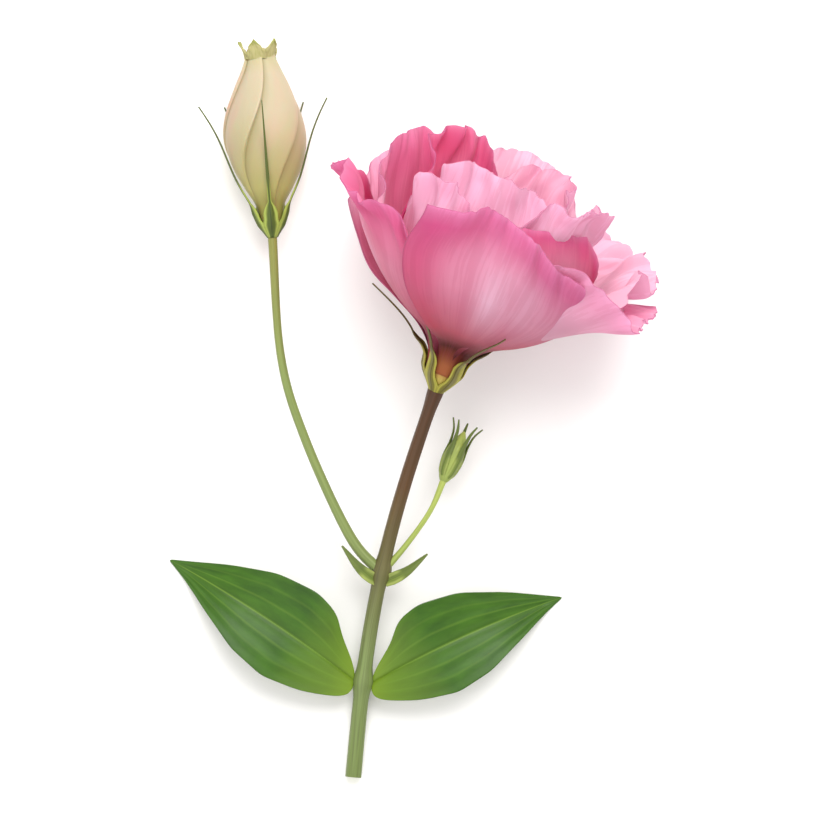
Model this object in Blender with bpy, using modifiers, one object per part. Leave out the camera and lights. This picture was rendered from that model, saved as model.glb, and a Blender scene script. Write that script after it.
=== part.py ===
"""A cut lisianthus stem laid on a table: one open double bloom, one closed bud on a side branch,
a young bud, two bracts and a pair of leaves.

Lengths and points are in millimetres until they go into a mesh, which is in metres. The bloom and
the bud are shaped upright in frames of their own, with the axis on +Z, and then laid down on the
table, which is z = 0.
"""

import math
from typing import NamedTuple

import bmesh
import bpy
import numpy as np
from mathutils import Vector
from mathutils.bvhtree import BVHTree

MM = 0.001
GAP = 0.3
UP = (0.0, 0.0, 1.0)

# How the bloom and the bud lie: degrees that their axes lean to the right and rise from the table
BLOOM_LEAN = 19.2
BLOOM_RISE = 17.5
BLOOM_FOOT = (0.0, 0.0, 22.0)
BUD_LEAN = -4.0
BUD_RISE = 0.0
BUD_FOOT = (-41.0, 38.0, 9.78)

# Petals. PROFILE holds the shares of a petal's length at which its angles are given, and LONGEST is
# the most that any part of its margin reaches as a share of its length. CLAW_WIDTH is how wide its
# foot is as a share of its width, and MOST_TURN is how far round the axis, in radians, an edge lies.
PROFILE = (0.0, 0.10, 0.24, 0.50, 0.78, 1.0)
PETAL_ROWS = (0.09, 0.2, 0.34, 0.48, 0.62, 0.76, 0.89, 1.0)
PETAL_THICKNESS = 0.65
CLAW_THICKNESS = 0.95
TUBE_RADIUS = 4.2
TUBE_FOOT = 2.5
TUBE_WALL = ((2.85, TUBE_FOOT), (2.9, 6.0), (3.3, 9.2), (5.1, 9.2), (4.7, 6.0), (4.6, TUBE_FOOT))
TUBE_SIDES = 20
CLAW_WIDTH = 0.10
LONGEST = 1.1
MOST_TURN = 2.2
BEND_REACH = 15

# Waves across a petal's margin, and how deep the finer ones and those of its flanks are beside them
WAVES = 2.6
FINE_WAVES = 5.98
FINE_SHARE = 0.55
FLANK_SHARE = 0.6

# How softly a petal bends where it meets the table, and what height over the table counts as on it
PRESS_SOFTNESS = 0.8
SETTLED = 0.16

# Calyxes: the heights are for the bloom's, and the bud's is a smaller one of the same form
CUP_BOTTOM = -1.2
CUP_FLOOR = 2.2
CUP_TOP = 6.6
BUD_SCALE = 0.71
SEPAL_POINTS = 12
THINNEST = 0.7

# Stem
STEM_LENGTH = 100.0
STEM_CUT_RADIUS = 2.0
STEM_TOP_RADIUS = 1.55
CUT_LEAN = 5.0
FORK_AT = 48.0
LEAVES_AT = 76.0
NODE_SWELLING = 0.7
NODE_REACH = 2.6

LEAF_THICKNESS = 0.7


def smooth(low, high, value):
    """0 below low, 1 above high, and an even step between them."""
    part = np.clip((value - low) / (high - low), 0.0, 1.0)
    return part * part * (3.0 - 2.0 * part)


def eased(across, values):
    """values spread from -1 to 1, read where across says, with soft bends at each of them."""
    values = np.asarray(values)
    at = np.clip((across + 1.0) * (len(values) - 1) / 2.0, 0.0, len(values) - 1.001)
    low = np.floor(at).astype(int)
    part = at - low
    part = 0.5 * part + 0.5 * part * part * (3.0 - 2.0 * part)
    return values[low] * (1.0 - part) + values[low + 1] * part


def spread(values, count):
    """values, read evenly at count places from the first to the last."""
    return np.interp(np.linspace(0.0, 1.0, count), np.linspace(0.0, 1.0, len(values)), values)


def softened(values, reach):
    """values evenly spaced, each made the mean of its neighbours up to reach places away."""
    window = np.hanning(2 * reach + 1)
    return np.convolve(np.pad(values, reach, mode="edge"), window / window.sum(), mode="valid")


def unit(vectors):
    vectors = np.asarray(vectors, float)
    return vectors / np.maximum(np.linalg.norm(vectors, axis=-1, keepdims=True), 1e-9)


def direction(degrees):
    """The unit vector across an upright flower's axis at this bearing."""
    turn = math.radians(degrees)
    return np.array([math.cos(turn), math.sin(turn), 0.0])


def laid_down(points, lean, rise, foot):
    """Points of an upright flower, laid on the table with its axis leaning right and rising."""
    lean, rise = math.radians(lean), math.radians(rise)
    axis = np.array([math.sin(lean) * math.cos(rise), math.cos(lean) * math.cos(rise), math.sin(rise)])
    right = np.array([math.cos(lean), -math.sin(lean), 0.0])
    return points @ np.stack([right, np.cross(axis, right), axis]) + np.array(foot)


def bloom_placed(points):
    return laid_down(points, BLOOM_LEAN, BLOOM_RISE, BLOOM_FOOT)


def bud_placed(points):
    return laid_down(points, BUD_LEAN, BUD_RISE, BUD_FOOT)


def pressed(points, floor):
    """The points that would lie under floor are flat on it, with a soft bend where they leave it."""
    height = points[..., 2] - floor
    bend = (height + PRESS_SOFTNESS) ** 2 / (4.0 * PRESS_SOFTNESS)
    height = np.where(height > PRESS_SOFTNESS, height, np.where(height < -PRESS_SOFTNESS, 0.0, bend))
    result = points.copy()
    result[..., 2] = floor + height
    return result


def settled(points, floor=0.0):
    """What is under floor, or only just over it, lies on it: these are the flat spots to rest on."""
    result = points.copy()
    result[points[:, 2] < floor + SETTLED, 2] = floor
    return result


def curve_through(points, count):
    """count points evenly along a smooth curve through the given ones."""
    points = np.asarray(points, float)
    padded = np.concatenate([[2 * points[0] - points[1]], points, [2 * points[-1] - points[-2]]])
    fine = []
    for i in range(len(points) - 1):
        a, b, c, d = padded[i : i + 4]
        for t in np.linspace(0.0, 1.0, 30, endpoint=False):
            bend = (2 * a - 5 * b + 4 * c - d) * t**2 + (3 * b - a - 3 * c + d) * t**3
            fine.append(0.5 * (2 * b + (c - a) * t + bend))
    fine = np.array(fine + [points[-1]])
    length = np.concatenate([[0.0], np.cumsum(np.linalg.norm(np.diff(fine, axis=0), axis=1))])
    at = np.linspace(0.0, length[-1], count)
    return np.stack([np.interp(at, length, fine[:, k]) for k in range(3)], axis=-1)


# Making solids. group is the collection that a new object goes into.
def clear_scene():
    for old in list(bpy.data.objects):
        bpy.data.objects.remove(old)


def linked(name, data, group):
    made = bpy.data.objects.new(name, data)
    group.objects.link(made)
    return made


def as_mesh(made, group):
    """A plain mesh object, shaped as the modifiers or the bevel of the given one, which it replaces."""
    bpy.context.view_layer.update()
    mesh = bpy.data.meshes.new_from_object(made.evaluated_get(bpy.context.evaluated_depsgraph_get()))
    name = made.name
    bpy.data.objects.remove(made)
    return linked(name, mesh, group)


def moved(made, change):
    """Moves every point of a mesh as change does it to an array of points."""
    points = np.empty(len(made.data.vertices) * 3, np.float32)
    made.data.vertices.foreach_get("co", points)
    points = change(points.reshape(-1, 3).astype(float) / MM) * MM
    made.data.vertices.foreach_set("co", points.astype(np.float32).ravel())
    made.data.update()
    return made


def blade(name, middle, thickness, group):
    """A thin closed blade round a grid of points, with a thickness for each row of the grid.

    The open sheet is split into triangles before it is made solid, so both faces are split alike.
    """
    rows, columns = middle.shape[:2]
    work = bmesh.new()
    bmesh.ops.create_grid(work, x_segments=columns - 1, y_segments=rows - 1, size=1.0)
    for vertex, point in zip(work.verts, middle.reshape(-1, 3)):
        vertex.co = point * MM
    bmesh.ops.triangulate(work, faces=work.faces, quad_method="SHORT_EDGE")
    mesh = bpy.data.meshes.new(name)
    work.to_mesh(mesh)
    work.free()
    made = linked(name, mesh, group)
    thickest = max(thickness)
    shares = made.vertex_groups.new(name="Thickness")
    for row, thick in enumerate(thickness):
        shares.add(range(row * columns, (row + 1) * columns), thick / thickest, "REPLACE")
    shell = made.modifiers.new("Thickness", "SOLIDIFY")
    shell.thickness = thickest * MM
    shell.offset = 0.0
    shell.vertex_group = shares.name
    return as_mesh(made, group)


def turned(name, profile, sides, group, ring=False):
    """A turned solid. The (radius, height) points run up any inside and then down the outside.

    A ring has a closed profile, and any other one is closed at the axis at both ends.
    """
    if not ring:
        profile = [(0.0, profile[0][1]), *profile, (0.0, profile[-1][1])]
    work = bmesh.new()
    corners = [work.verts.new((radius * MM, 0.0, height * MM)) for radius, height in profile]
    for start, end in zip(corners, corners[1:]):
        work.edges.new((start, end))
    if ring:
        work.edges.new((corners[-1], corners[0]))
    mesh = bpy.data.meshes.new(name)
    work.to_mesh(mesh)
    work.free()
    made = linked(name, mesh, group)
    screw = made.modifiers.new("Turn", "SCREW")
    screw.steps = sides
    screw.render_steps = sides
    screw.use_merge_vertices = True
    screw.merge_threshold = 1e-6
    return as_mesh(made, group)


def tube(name, path, widths, roundness, group):
    """A round stalk along a path, as wide at each point as widths says, with 2 * roundness + 4 sides."""
    curve = bpy.data.curves.new(name, "CURVE")
    curve.dimensions = "3D"
    curve.bevel_depth = MM / 2.0
    curve.bevel_resolution = roundness
    curve.use_fill_caps = True
    spline = curve.splines.new("POLY")
    spline.points.add(len(path) - 1)
    for point, place, width in zip(spline.points, path, widths):
        point.co = (*(place * MM), 1.0)
        point.radius = width
    made = as_mesh(linked(name, curve, group), group)
    work = bmesh.new()
    work.from_mesh(made.data)
    bmesh.ops.remove_doubles(work, verts=work.verts, dist=1e-6)
    bmesh.ops.recalc_face_normals(work, faces=work.faces)
    work.to_mesh(made.data)
    work.free()
    return made


def loft(name, path, widths, depths, outward, sides, group):
    """A solid along a path over oval sections: widths across it and depths along outward."""
    path = np.asarray(path, float)
    tangent = unit(np.gradient(path, axis=0))
    outward = np.broadcast_to(np.asarray(outward, float), path.shape)
    outward = unit(outward - tangent * (outward * tangent).sum(axis=1, keepdims=True))
    across = np.cross(outward, tangent)
    turn = np.linspace(0.0, 2.0 * math.pi, sides, endpoint=False)[None, :, None] + math.pi / sides
    wide = across[:, None] * np.asarray(widths)[:, None, None] / 2.0
    deep = outward[:, None] * np.asarray(depths)[:, None, None] / 2.0
    rings = path[:, None] + wide * np.cos(turn) + deep * np.sin(turn)
    top = (len(path) - 1) * sides
    faces = [tuple(reversed(range(sides))), tuple(range(top, top + sides))]
    for low in range(0, top, sides):
        for j in range(sides):
            k = (j + 1) % sides
            faces.append((low + j, low + k, low + sides + k, low + sides + j))
    mesh = bpy.data.meshes.new(name)
    mesh.from_pydata((rings.reshape(-1, 3) * MM).tolist(), [], faces)
    return linked(name, mesh, group)


def keep_largest(mesh):
    """Drops the loose scraps and sealed hollows that a union leaves."""
    work = bmesh.new()
    work.from_mesh(mesh)
    left = set(work.faces)
    bodies = []
    while left:
        found = {left.pop()}
        waiting = list(found)
        while waiting:
            for edge in waiting.pop().edges:
                for other in left.intersection(edge.link_faces):
                    left.remove(other)
                    found.add(other)
                    waiting.append(other)
        bodies.append(found)
    bodies.sort(key=lambda body: sum(face.calc_area() for face in body))
    for body in bodies[:-1]:
        bmesh.ops.delete(work, geom=list(body), context="FACES")
    work.to_mesh(mesh)
    work.free()


def joined(name, pieces, group):
    """One solid from overlapping ones, by a Boolean union on a collection, which is then removed."""
    first, *others = pieces
    held = bpy.data.collections.new(name + "_pieces")
    bpy.context.scene.collection.children.link(held)
    for other in others:
        group.objects.unlink(other)
        held.objects.link(other)
    union = first.modifiers.new("Union", "BOOLEAN")
    union.operation = "UNION"
    union.operand_type = "COLLECTION"
    union.collection = held
    union.solver = "MANIFOLD"
    first.name = name
    made = as_mesh(first, group)
    for other in others:
        bpy.data.objects.remove(other)
    bpy.data.collections.remove(held)
    keep_largest(made.data)
    return made


def finish(made, material_name, colour, roughness):
    """Gives an object its own material. colour is sRGB, as a hex string."""
    material = bpy.data.materials.new(material_name)
    material.use_nodes = True
    shader = material.node_tree.nodes["Principled BSDF"]
    channels = [int(colour[k : k + 2], 16) / 255.0 for k in (1, 3, 5)]
    linear = [c / 12.92 if c <= 0.04045 else ((c + 0.055) / 1.055) ** 2.4 for c in channels]
    shader.inputs["Base Color"].default_value = (*linear, 1.0)
    shader.inputs["Roughness"].default_value = roughness
    shader.inputs["Metallic"].default_value = 0.0
    made.data.materials.clear()
    made.data.materials.append(material)
    made.data.shade_smooth()


class Petal(NamedTuple):
    """One petal. bearing is where its middle points, seen down the axis, and 90 is towards the table.

    angles are how far it leans out from the axis at each share of its length in PROFILE. rest is how
    high it lies on the petals below it. margin is how far each fifth of its width reaches, from edge
    to edge, curl lifts its left and right corners, and flare is how many degrees more its left and
    right edges lean out. over is how far out its edges lie, to pass over or under those beside it.
    """

    bearing: float
    length: float
    width: float
    angles: tuple
    wave: float
    phase: float
    rest: float = 0.0
    margin: tuple = (0.74, 0.96, 1.0, 0.96, 0.74)
    curl: tuple = (0.0, 0.0)
    flare: tuple = (0.0, 0.0)
    over: tuple = (-2.2, 2.2)


class Layer(NamedTuple):
    """Petals that grow from one ring. columns is how many points each has across it."""

    inset: float
    columns: int
    petals: tuple


OUTER = (
    Petal(
        -74,
        62,
        57,
        (2, 14, 63, 45, 6, 4),
        0.8,
        0.3,
        margin=(1.03, 1.08, 0.99, 0.85, 0.79),
        curl=(1.5, 1.0),
        flare=(8.0, 0.0),
        over=(2.2, 2.2),
    ),
    Petal(
        -24,
        58,
        56,
        (2, 14, 60, 55, 58, 74),
        1.3,
        1.0,
        margin=(0.75, 0.95, 0.96, 0.9, 0.92),
        flare=(-54.0, 0.0),
    ),
    Petal(46, 60, 60, (2, 14, 64, 54, 46, 60), 1.8, 2.2, 0.1),
    Petal(119, 66, 56, (2, 13, 60, 50, 34, 40), 1.2, 3.9, margin=(0.8, 1.0, 0.98, 0.88, 0.7)),
    Petal(
        196,
        61,
        57,
        (2, 14, 61, 46, 27, 60),
        2.0,
        5.1,
        margin=(0.7, 0.98, 1.0, 0.92, 0.7),
        curl=(3.0, 0.0),
        flare=(0.0, -6.0),
        over=(-2.2, -2.2),
    ),
)
MIDDLE = (
    Petal(-48, 58, 46, (3, 14, 50, 42, 6, -46), 0.2, 2.0, margin=(0.84, 0.99, 1.0, 0.98, 0.8)),
    Petal(14, 58, 54, (3, 14, 60, 50, 38, 60), 2.2, 3.0, 1.4),
    Petal(84, 62, 52, (3, 14, 52, 38, 14, 24), 1.4, 4.2, 1.4),
    Petal(156, 63, 48, (3, 14, 54, 42, 10, 20), 0.8, 5.6, 1.4, (0.84, 1.0, 0.97, 0.84, 0.62)),
    Petal(-112, 62, 42, (3, 14, 50, 36, 6, 4), 1.6, 0.4, margin=(0.84, 1.0, 0.98, 0.9, 0.74)),
)
INNER = (
    Petal(-96, 63, 46, (2, 8, 38, 24, 0, -4), 1.4, 1.1, margin=(0.86, 0.99, 1.0, 0.96, 0.84)),
    Petal(-34, 63, 46, (2, 8, 42, 30, 4, 16), 1.6, 2.4, 2.8),
    Petal(56, 59, 40, (2, 8, 40, 26, 2, 12), 1.6, 3.3, 2.8),
    Petal(142, 63, 38, (2, 8, 38, 24, -2, 8), 1.8, 4.8, 2.8),
)
LAYERS = {
    "outer": Layer(0.0, 14, OUTER),
    "middle": Layer(0.5, 12, MIDDLE),
    "inner": Layer(1.0, 10, INNER),
}


def petal_profile(petal, inset, across, shares):
    """Lines up a petal, one for each place across it: distance from the axis and height at each share."""
    middle = np.radians(np.interp(shares, PROFILE, petal.angles))
    left, right = np.radians(petal.flare)
    edges = left * smooth(0.0, 0.8, -across) + right * smooth(0.0, 0.8, across)
    step = petal.length * (shares[1] - shares[0])
    out, height = [], []
    for edge in edges:
        angles = softened(middle + edge * smooth(0.3, 0.8, shares), BEND_REACH)[:-1]
        out.append(TUBE_RADIUS - inset + np.concatenate([[0.0], np.cumsum(np.sin(angles) * step)]))
        height.append(TUBE_FOOT + np.concatenate([[0.0], np.cumsum(np.cos(angles) * step)]))
    return out, height


def petal_waves(petal, u, v):
    """How far the waves of the margin and the curl of the corners lift a petal off its surface."""
    top = smooth(0.56, 1.0, v) ** 1.6
    side = smooth(0.55, 1.0, np.abs(u)) * smooth(0.35, 0.8, v)
    slant = 0.8 * (1.0 - v)
    broad = top * np.sin(math.pi * WAVES * (u + slant) + petal.phase)
    fine = FINE_SHARE * top * v * np.sin(math.pi * FINE_WAVES * (u - slant) + 2.0 * petal.phase + 1.0)
    flank = FLANK_SHARE * side * np.sin(4.4 * math.pi * v + 3.0 * petal.phase + u)
    curl = petal.curl[0] * smooth(0.2, 1.0, -u) + petal.curl[1] * smooth(0.2, 1.0, u)
    return petal.wave * (broad + fine + flank) + smooth(0.5, 1.0, v) * curl


def petal_surface(petal, inset, columns):
    """The middle surface of a petal: a fan that opens from the tube, turned like a pinwheel's blade."""
    u, v = np.meshgrid(np.linspace(-1.0, 1.0, columns), np.asarray(PETAL_ROWS))
    shares = np.linspace(0.0, LONGEST, 200)
    out, up = petal_profile(petal, inset, u[0], shares)
    along = v * eased(u, petal.margin)
    radius = np.stack([np.interp(along[:, k], shares, out[k]) for k in range(columns)], axis=1)
    height = np.stack([np.interp(along[:, k], shares, up[k]) for k in range(columns)], axis=1)
    widening = CLAW_WIDTH + (1.0 - CLAW_WIDTH) * smooth(0.03, 0.85, v)
    widening = widening * (1.0 - 0.10 * smooth(0.72, 1.0, v))
    turn = u * petal.width / 2.0 * widening / np.maximum(radius, 2.0)
    turn = np.clip(turn, -MOST_TURN, MOST_TURN)
    over = petal.over[0] * np.clip(-u, 0.0, 1.0) ** 1.5 + petal.over[1] * np.clip(u, 0.0, 1.0) ** 1.5
    radius = radius + over * smooth(0.04, 0.40, v)
    bearing = math.radians(petal.bearing) + turn
    points = np.stack([radius * np.cos(bearing), radius * np.sin(bearing), height], axis=-1)
    normal = unit(np.cross(np.gradient(points, axis=1), np.gradient(points, axis=0)))
    return points + normal * petal_waves(petal, u, v)[..., None]


def make_corolla(group):
    """Every petal is a thin blade, rooted in the wall of the short tube that they all grow from."""
    claw = 1.0 - smooth(0.0, 0.3, np.array(PETAL_ROWS))
    thickness = PETAL_THICKNESS + (CLAW_THICKNESS - PETAL_THICKNESS) * claw
    pieces = [moved(turned("tube_wall", TUBE_WALL, TUBE_SIDES, group, ring=True), bloom_placed)]
    for name, layer in LAYERS.items():
        for petal in layer.petals:
            middle = bloom_placed(petal_surface(petal, layer.inset, layer.columns))
            middle = pressed(middle, PETAL_THICKNESS / 2.0 + petal.rest)
            made = blade(name, middle, thickness, group)
            pieces.append(moved(made, lambda points, rest=petal.rest: settled(points, rest)))
    return joined("corolla", pieces, group)


def tree_of(made):
    """A search tree over a mesh, to keep other pieces clear of it."""
    return BVHTree.FromPolygons(
        [vertex.co / MM for vertex in made.data.vertices],
        [list(face.vertices) for face in made.data.polygons],
    )


def kept_clear(path, tree, distance):
    """Moves the points of a path straight away from a solid until they clear it."""
    result = np.array(path, float)
    for _ in range(12):
        for k, point in enumerate(result):
            nearest, _, _, near = tree.find_nearest(Vector(point))
            if near < distance:
                away = unit(point - np.array(nearest))
                result[k] = point + away * (distance - near + 0.05)
        result[1:-1] = 0.5 * result[1:-1] + 0.25 * (result[:-2] + result[2:])
    return result


class Calyx(NamedTuple):
    """A cup with five sepals, which run along (distance from the axis, height) points.

    lifts are how much higher the tip of each sepal reaches, and clearance is how far their middle
    lines stay from the petals.
    """

    scale: float
    sides: int
    bearings: tuple
    lifts: tuple
    width: float
    clearance: float
    path: tuple


BLOOM_CALYX = Calyx(
    1.0,
    20,
    (-60.0, -118.0, 178.0, 108.0, 26.0),
    (5.2, 6.0, 1.0, 0.0, 0.0),
    5.0,
    0.95,
    ((5.45, 2.2), (5.55, 4.6), (6.0, 7.2), (7.2, 9.8), (9.2, 12.2), (12.6, 14.2), (17.5, 15.8), (23.5, 18.4)),
)
BUD_CALYX = Calyx(
    BUD_SCALE,
    16,
    (-90.0, -18.0, 54.0, 126.0, 198.0),
    (0.0, 0.0, 0.0, 0.0, 0.0),
    4.2,
    0.85,
    ((4.0, 1.8), (4.15, 3.4), (4.6, 6.2), (7.0, 11.2), (9.7, 16.5), (11.1, 21.5), (12.2, 26.5), (15.2, 32.5)),
)
CUP = (
    (1.5, CUP_FLOOR),
    (4.6, CUP_FLOOR),
    (5.0, CUP_FLOOR + 0.5),
    (5.05, CUP_TOP - 1.0),
    (5.4, CUP_TOP),
    (6.0, CUP_TOP),
    (6.05, CUP_TOP - 0.4),
    (5.75, 3.8),
    (5.2, 2.3),
    (4.0, 0.8),
    (2.7, -0.5),
    (1.8, CUP_BOTTOM),
)
# Shares of a sepal's length, and there its width, as a share of the broadest, and its thickness
SEPAL_AT = (0.0, 0.15, 0.32, 0.55, 0.85, 1.0)
SEPAL_WIDTHS = (0.8, 1.0, 0.62, 0.34, 0.2, 0.13)
SEPAL_DEPTHS = (1.0, 0.9, 0.8, 0.75, 0.68, 0.66)
SEPAL_FREE = (0.22, 0.36)


def make_sepal(calyx, number, placed, tree, group):
    """A sepal, broad at the cup and then a long awl that is bent clear of the petals."""
    side = direction(calyx.bearings[number])
    tip = calyx.path[-1][0]
    line = []
    for out, height in calyx.path:
        lifted = height + calyx.lifts[number] * smooth(0.3, 1.0, out / tip)
        line.append(side * out + (0.0, 0.0, lifted))
    line = curve_through(line, SEPAL_POINTS)
    outward = placed(line + side) - placed(line)
    line = placed(line)
    share = np.linspace(0.0, 1.0, SEPAL_POINTS)
    free = smooth(*SEPAL_FREE, share)[:, None]
    line = line * (1.0 - free) + kept_clear(line, tree, calyx.clearance) * free
    line[:, 2] = np.maximum(line[:, 2], SEPAL_DEPTHS[0] / 2.0)
    widths = np.maximum(calyx.width * np.interp(share, SEPAL_AT, SEPAL_WIDTHS), THINNEST)
    depths = np.interp(share, SEPAL_AT, SEPAL_DEPTHS)
    return loft("sepal", line, widths, depths, outward, 6, group)


def make_calyx(name, calyx, placed, petals, group):
    tree = tree_of(petals)
    cup = [(radius * calyx.scale, height * calyx.scale) for radius, height in CUP]
    pieces = [moved(turned(name, cup, calyx.sides, group), placed)]
    for number in range(len(calyx.bearings)):
        pieces.append(make_sepal(calyx, number, placed, tree, group))
    return joined(name, pieces, group)


# The closed bud: five petals rolled round each other, which show as five slanting seams
BUD_PROFILE = (
    (0.9, 46.0),
    (2.3, 46.4),
    (3.3, 47.9),
    (4.0, 47.6),
    (3.3, 45.5),
    (3.7, 43.5),
    (4.9, 40.5),
    (7.0, 36.0),
    (9.0, 31.0),
    (10.1, 26.0),
    (10.0, 21.5),
    (8.6, 16.5),
    (6.0, 11.5),
    (3.7, 7.5),
    (3.15, 4.5),
    (3.0, 2.0),
    (2.4, 1.75),
)
BUD_SIDES = 35
BUD_SEAM_DEPTH = 0.55
BUD_LOBE_DEPTH = 0.55
BUD_TWIST = 0.055
TWIST_FROM = 4.0


def bud_seamed(points):
    """Each petal of the bud stands proud of the next one at its seam, and the mouth is lobed."""
    radius = np.hypot(points[:, 0], points[:, 1])
    bearing = np.arctan2(points[:, 1], points[:, 0])
    height = points[:, 2]
    twist = np.radians(BUD_TWIST * np.maximum(height - TWIST_FROM, 0.0) ** 1.55)
    turn = (bearing + twist) * 5.0 / (2.0 * math.pi)
    proud = np.mod(turn + 1e-6, 1.0) ** 1.5 - 0.6
    seams = BUD_SEAM_DEPTH * smooth(6.0, 14.0, height) * np.minimum(1.0, radius / 5.0) * proud
    lobes = BUD_LOBE_DEPTH * smooth(44.0, 47.0, height) * np.cos(5.0 * bearing + 0.6)
    grown = radius + seams + lobes * np.minimum(1.0, radius / 3.0)
    share = grown / np.maximum(radius, 1e-6)
    return points * np.stack([share, share, np.ones(len(points))], axis=-1)


def make_bud(group):
    made = moved(turned("bud_corolla", BUD_PROFILE, BUD_SIDES, group), bud_seamed)
    return moved(moved(made, bud_placed), settled)


# Stamens and pistil, deep in the bloom, as (distance from its axis, height) points
STAMENS = 5
FIRST_STAMEN = 20.0
DISC = ((1.9, 4.0), (2.4, 3.8), (2.4, 2.7), (1.6, 2.5))
FILAMENT = ((2.0, 3.2), (2.0, 10.0), (2.6, 14.5), (4.4, 20.0))
FILAMENT_POINTS = 5
FILAMENT_WIDTH = 0.8
ANTHER = ((3.6, 18.6), (3.9, 19.4), (4.5, 21.4), (5.1, 23.4), (5.3, 24.2))
ANTHER_WIDTHS = (0.7, 1.6, 1.9, 1.5, 0.7)
ANTHER_DEPTHS = (0.6, 1.1, 1.3, 1.1, 0.6)
STYLE = (
    (0.7, 22.8),
    (0.55, 22.0),
    (0.55, 16.0),
    (0.8, 13.5),
    (1.2, 11.0),
    (1.25, 7.0),
    (1.15, 4.8),
    (0.7, 4.3),
)
STIGMA_LOBE = ((0.2, 22.0), (0.9, 22.6), (1.7, 23.3), (2.2, 24.0))
LOBE_WIDTHS = (1.2, 2.0, 1.8, 0.8)
LOBE_DEPTHS = (0.9, 1.3, 1.2, 0.7)


def beside_axis(profile, bearing):
    """(distance from the axis, height) points at one bearing round the bloom's axis, laid down."""
    return bloom_placed(np.array([direction(bearing) * out + (0.0, 0.0, height) for out, height in profile]))


def make_stamens(group):
    pieces = [moved(turned("disc", DISC, 12, group), bloom_placed)]
    for number in range(STAMENS):
        bearing = FIRST_STAMEN + 360.0 / STAMENS * number
        line = curve_through(beside_axis(FILAMENT, bearing), FILAMENT_POINTS)
        pieces.append(tube("filament", line, [FILAMENT_WIDTH] * FILAMENT_POINTS, 0, group))
        line = beside_axis(ANTHER, bearing)
        pieces.append(loft("anther", line, ANTHER_WIDTHS, ANTHER_DEPTHS, UP, 6, group))
    return joined("stamens", pieces, group)


def make_pistil(group):
    pieces = [moved(turned("style", STYLE, 8, group), bloom_placed)]
    for bearing in (0.0, 180.0):
        line = beside_axis(STIGMA_LOBE, bearing)
        pieces.append(loft("lobe", line, LOBE_WIDTHS, LOBE_DEPTHS, UP, 8, group))
    return joined("pistil", pieces, group)


# The stem, from the bloom down to the cut. Steps are from the fork, along x, y and z.
BUD_STALK_START = ((0.6, -1.0, 0.0), (-8.0, 9.0, 0.2))
BUD_STALK_BOW = (-5.5, 4.0, 0.0)
BUD_STALK_WIDTHS = (2.9, 2.4, 2.2, 2.0, 2.3)
BUD_STALK_END = 30.0
YOUNG_STALK = ((-0.5, -1.0, 0.0), (6.0, 6.5, 1.6), (12.0, 15.0, 2.4), (15.5, 23.0, 2.2))
YOUNG_STALK_WIDTHS = (2.2, 1.7, 1.5, 1.5, 1.8)
YOUNG_BUD = ((-0.6, 1.9), (0.6, 3.2), (2.6, 4.3), (5.5, 5.2), (8.5, 4.4), (11.0, 2.4), (12.6, 0.9))
YOUNG_SEPAL = ((0.4, 1.3), (3.0, 2.2), (6.0, 2.75), (9.5, 2.6), (12.5, 3.0), (15.0, 4.2))
YOUNG_SEPAL_WIDTHS = (1.3, 1.5, 1.2, 0.9, 0.8, 0.7)
YOUNG_SEPAL_DEPTHS = (0.9, 0.8, 0.75, 0.7, 0.7, 0.66)
BRACTS = ((-9.0, 9.0, 2.5), (10.5, 7.0, 3.0))
BRACT_ROOT = (0.9, -2.6)
BRACT_WIDTHS = (1.6, 2.7, 2.6, 2.1, 1.6, 1.1, 0.7)
BRACT_DEPTHS = (0.9, 0.8, 0.7, 0.7, 0.7, 0.66, 0.66)


def stem_point(distance):
    """The middle of the stem, distance along the table from the foot of the bloom."""
    steps = np.linspace(0.0, distance, 60)
    lean = np.radians(BLOOM_LEAN + (CUT_LEAN - BLOOM_LEAN) * smooth(0.0, STEM_LENGTH, steps))
    x = -distance * np.sin(lean).mean()
    y = -distance * np.cos(lean).mean()
    fall = BLOOM_FOOT[2] - STEM_CUT_RADIUS
    power = math.tan(math.radians(BLOOM_RISE)) * STEM_LENGTH / fall
    return np.array([x, y, STEM_CUT_RADIUS + fall * (1.0 - distance / STEM_LENGTH) ** power])


def main_stem(group):
    start = (GAP - CUP_BOTTOM) * math.cos(math.radians(BLOOM_RISE))
    near = np.array([-6.0, -2.5, 0.0, 2.5, 6.0])
    upper = [start, 9.0, 20.0, 32.0, *(FORK_AT + near), 64.0]
    distances = np.array([*upper, *(LEAVES_AT + near), 90.0, STEM_LENGTH])
    path = np.array([stem_point(distance) for distance in distances])
    radius = STEM_TOP_RADIUS + (STEM_CUT_RADIUS - STEM_TOP_RADIUS) * distances / STEM_LENGTH
    for node in (FORK_AT, LEAVES_AT):
        radius = radius + NODE_SWELLING * np.exp(-(((distances - node) / NODE_REACH) ** 2))
    return tube("main_stem", path, 2.0 * radius, 3, group)


def bud_stalk(fork, group):
    """The branch that carries the bud, in a bow out to the left."""
    foot, below = bud_placed(np.array([[0.0, 0.0, CUP_BOTTOM * BUD_SCALE - GAP], [0.0, 0.0, -BUD_STALK_END]]))
    bow = 0.45 * fork + 0.55 * below + BUD_STALK_BOW
    line = curve_through([*(fork + np.array(BUD_STALK_START)), bow, below, foot], 16)
    return tube("bud_stalk", line, spread(BUD_STALK_WIDTHS, len(line)), 2, group)


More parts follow.
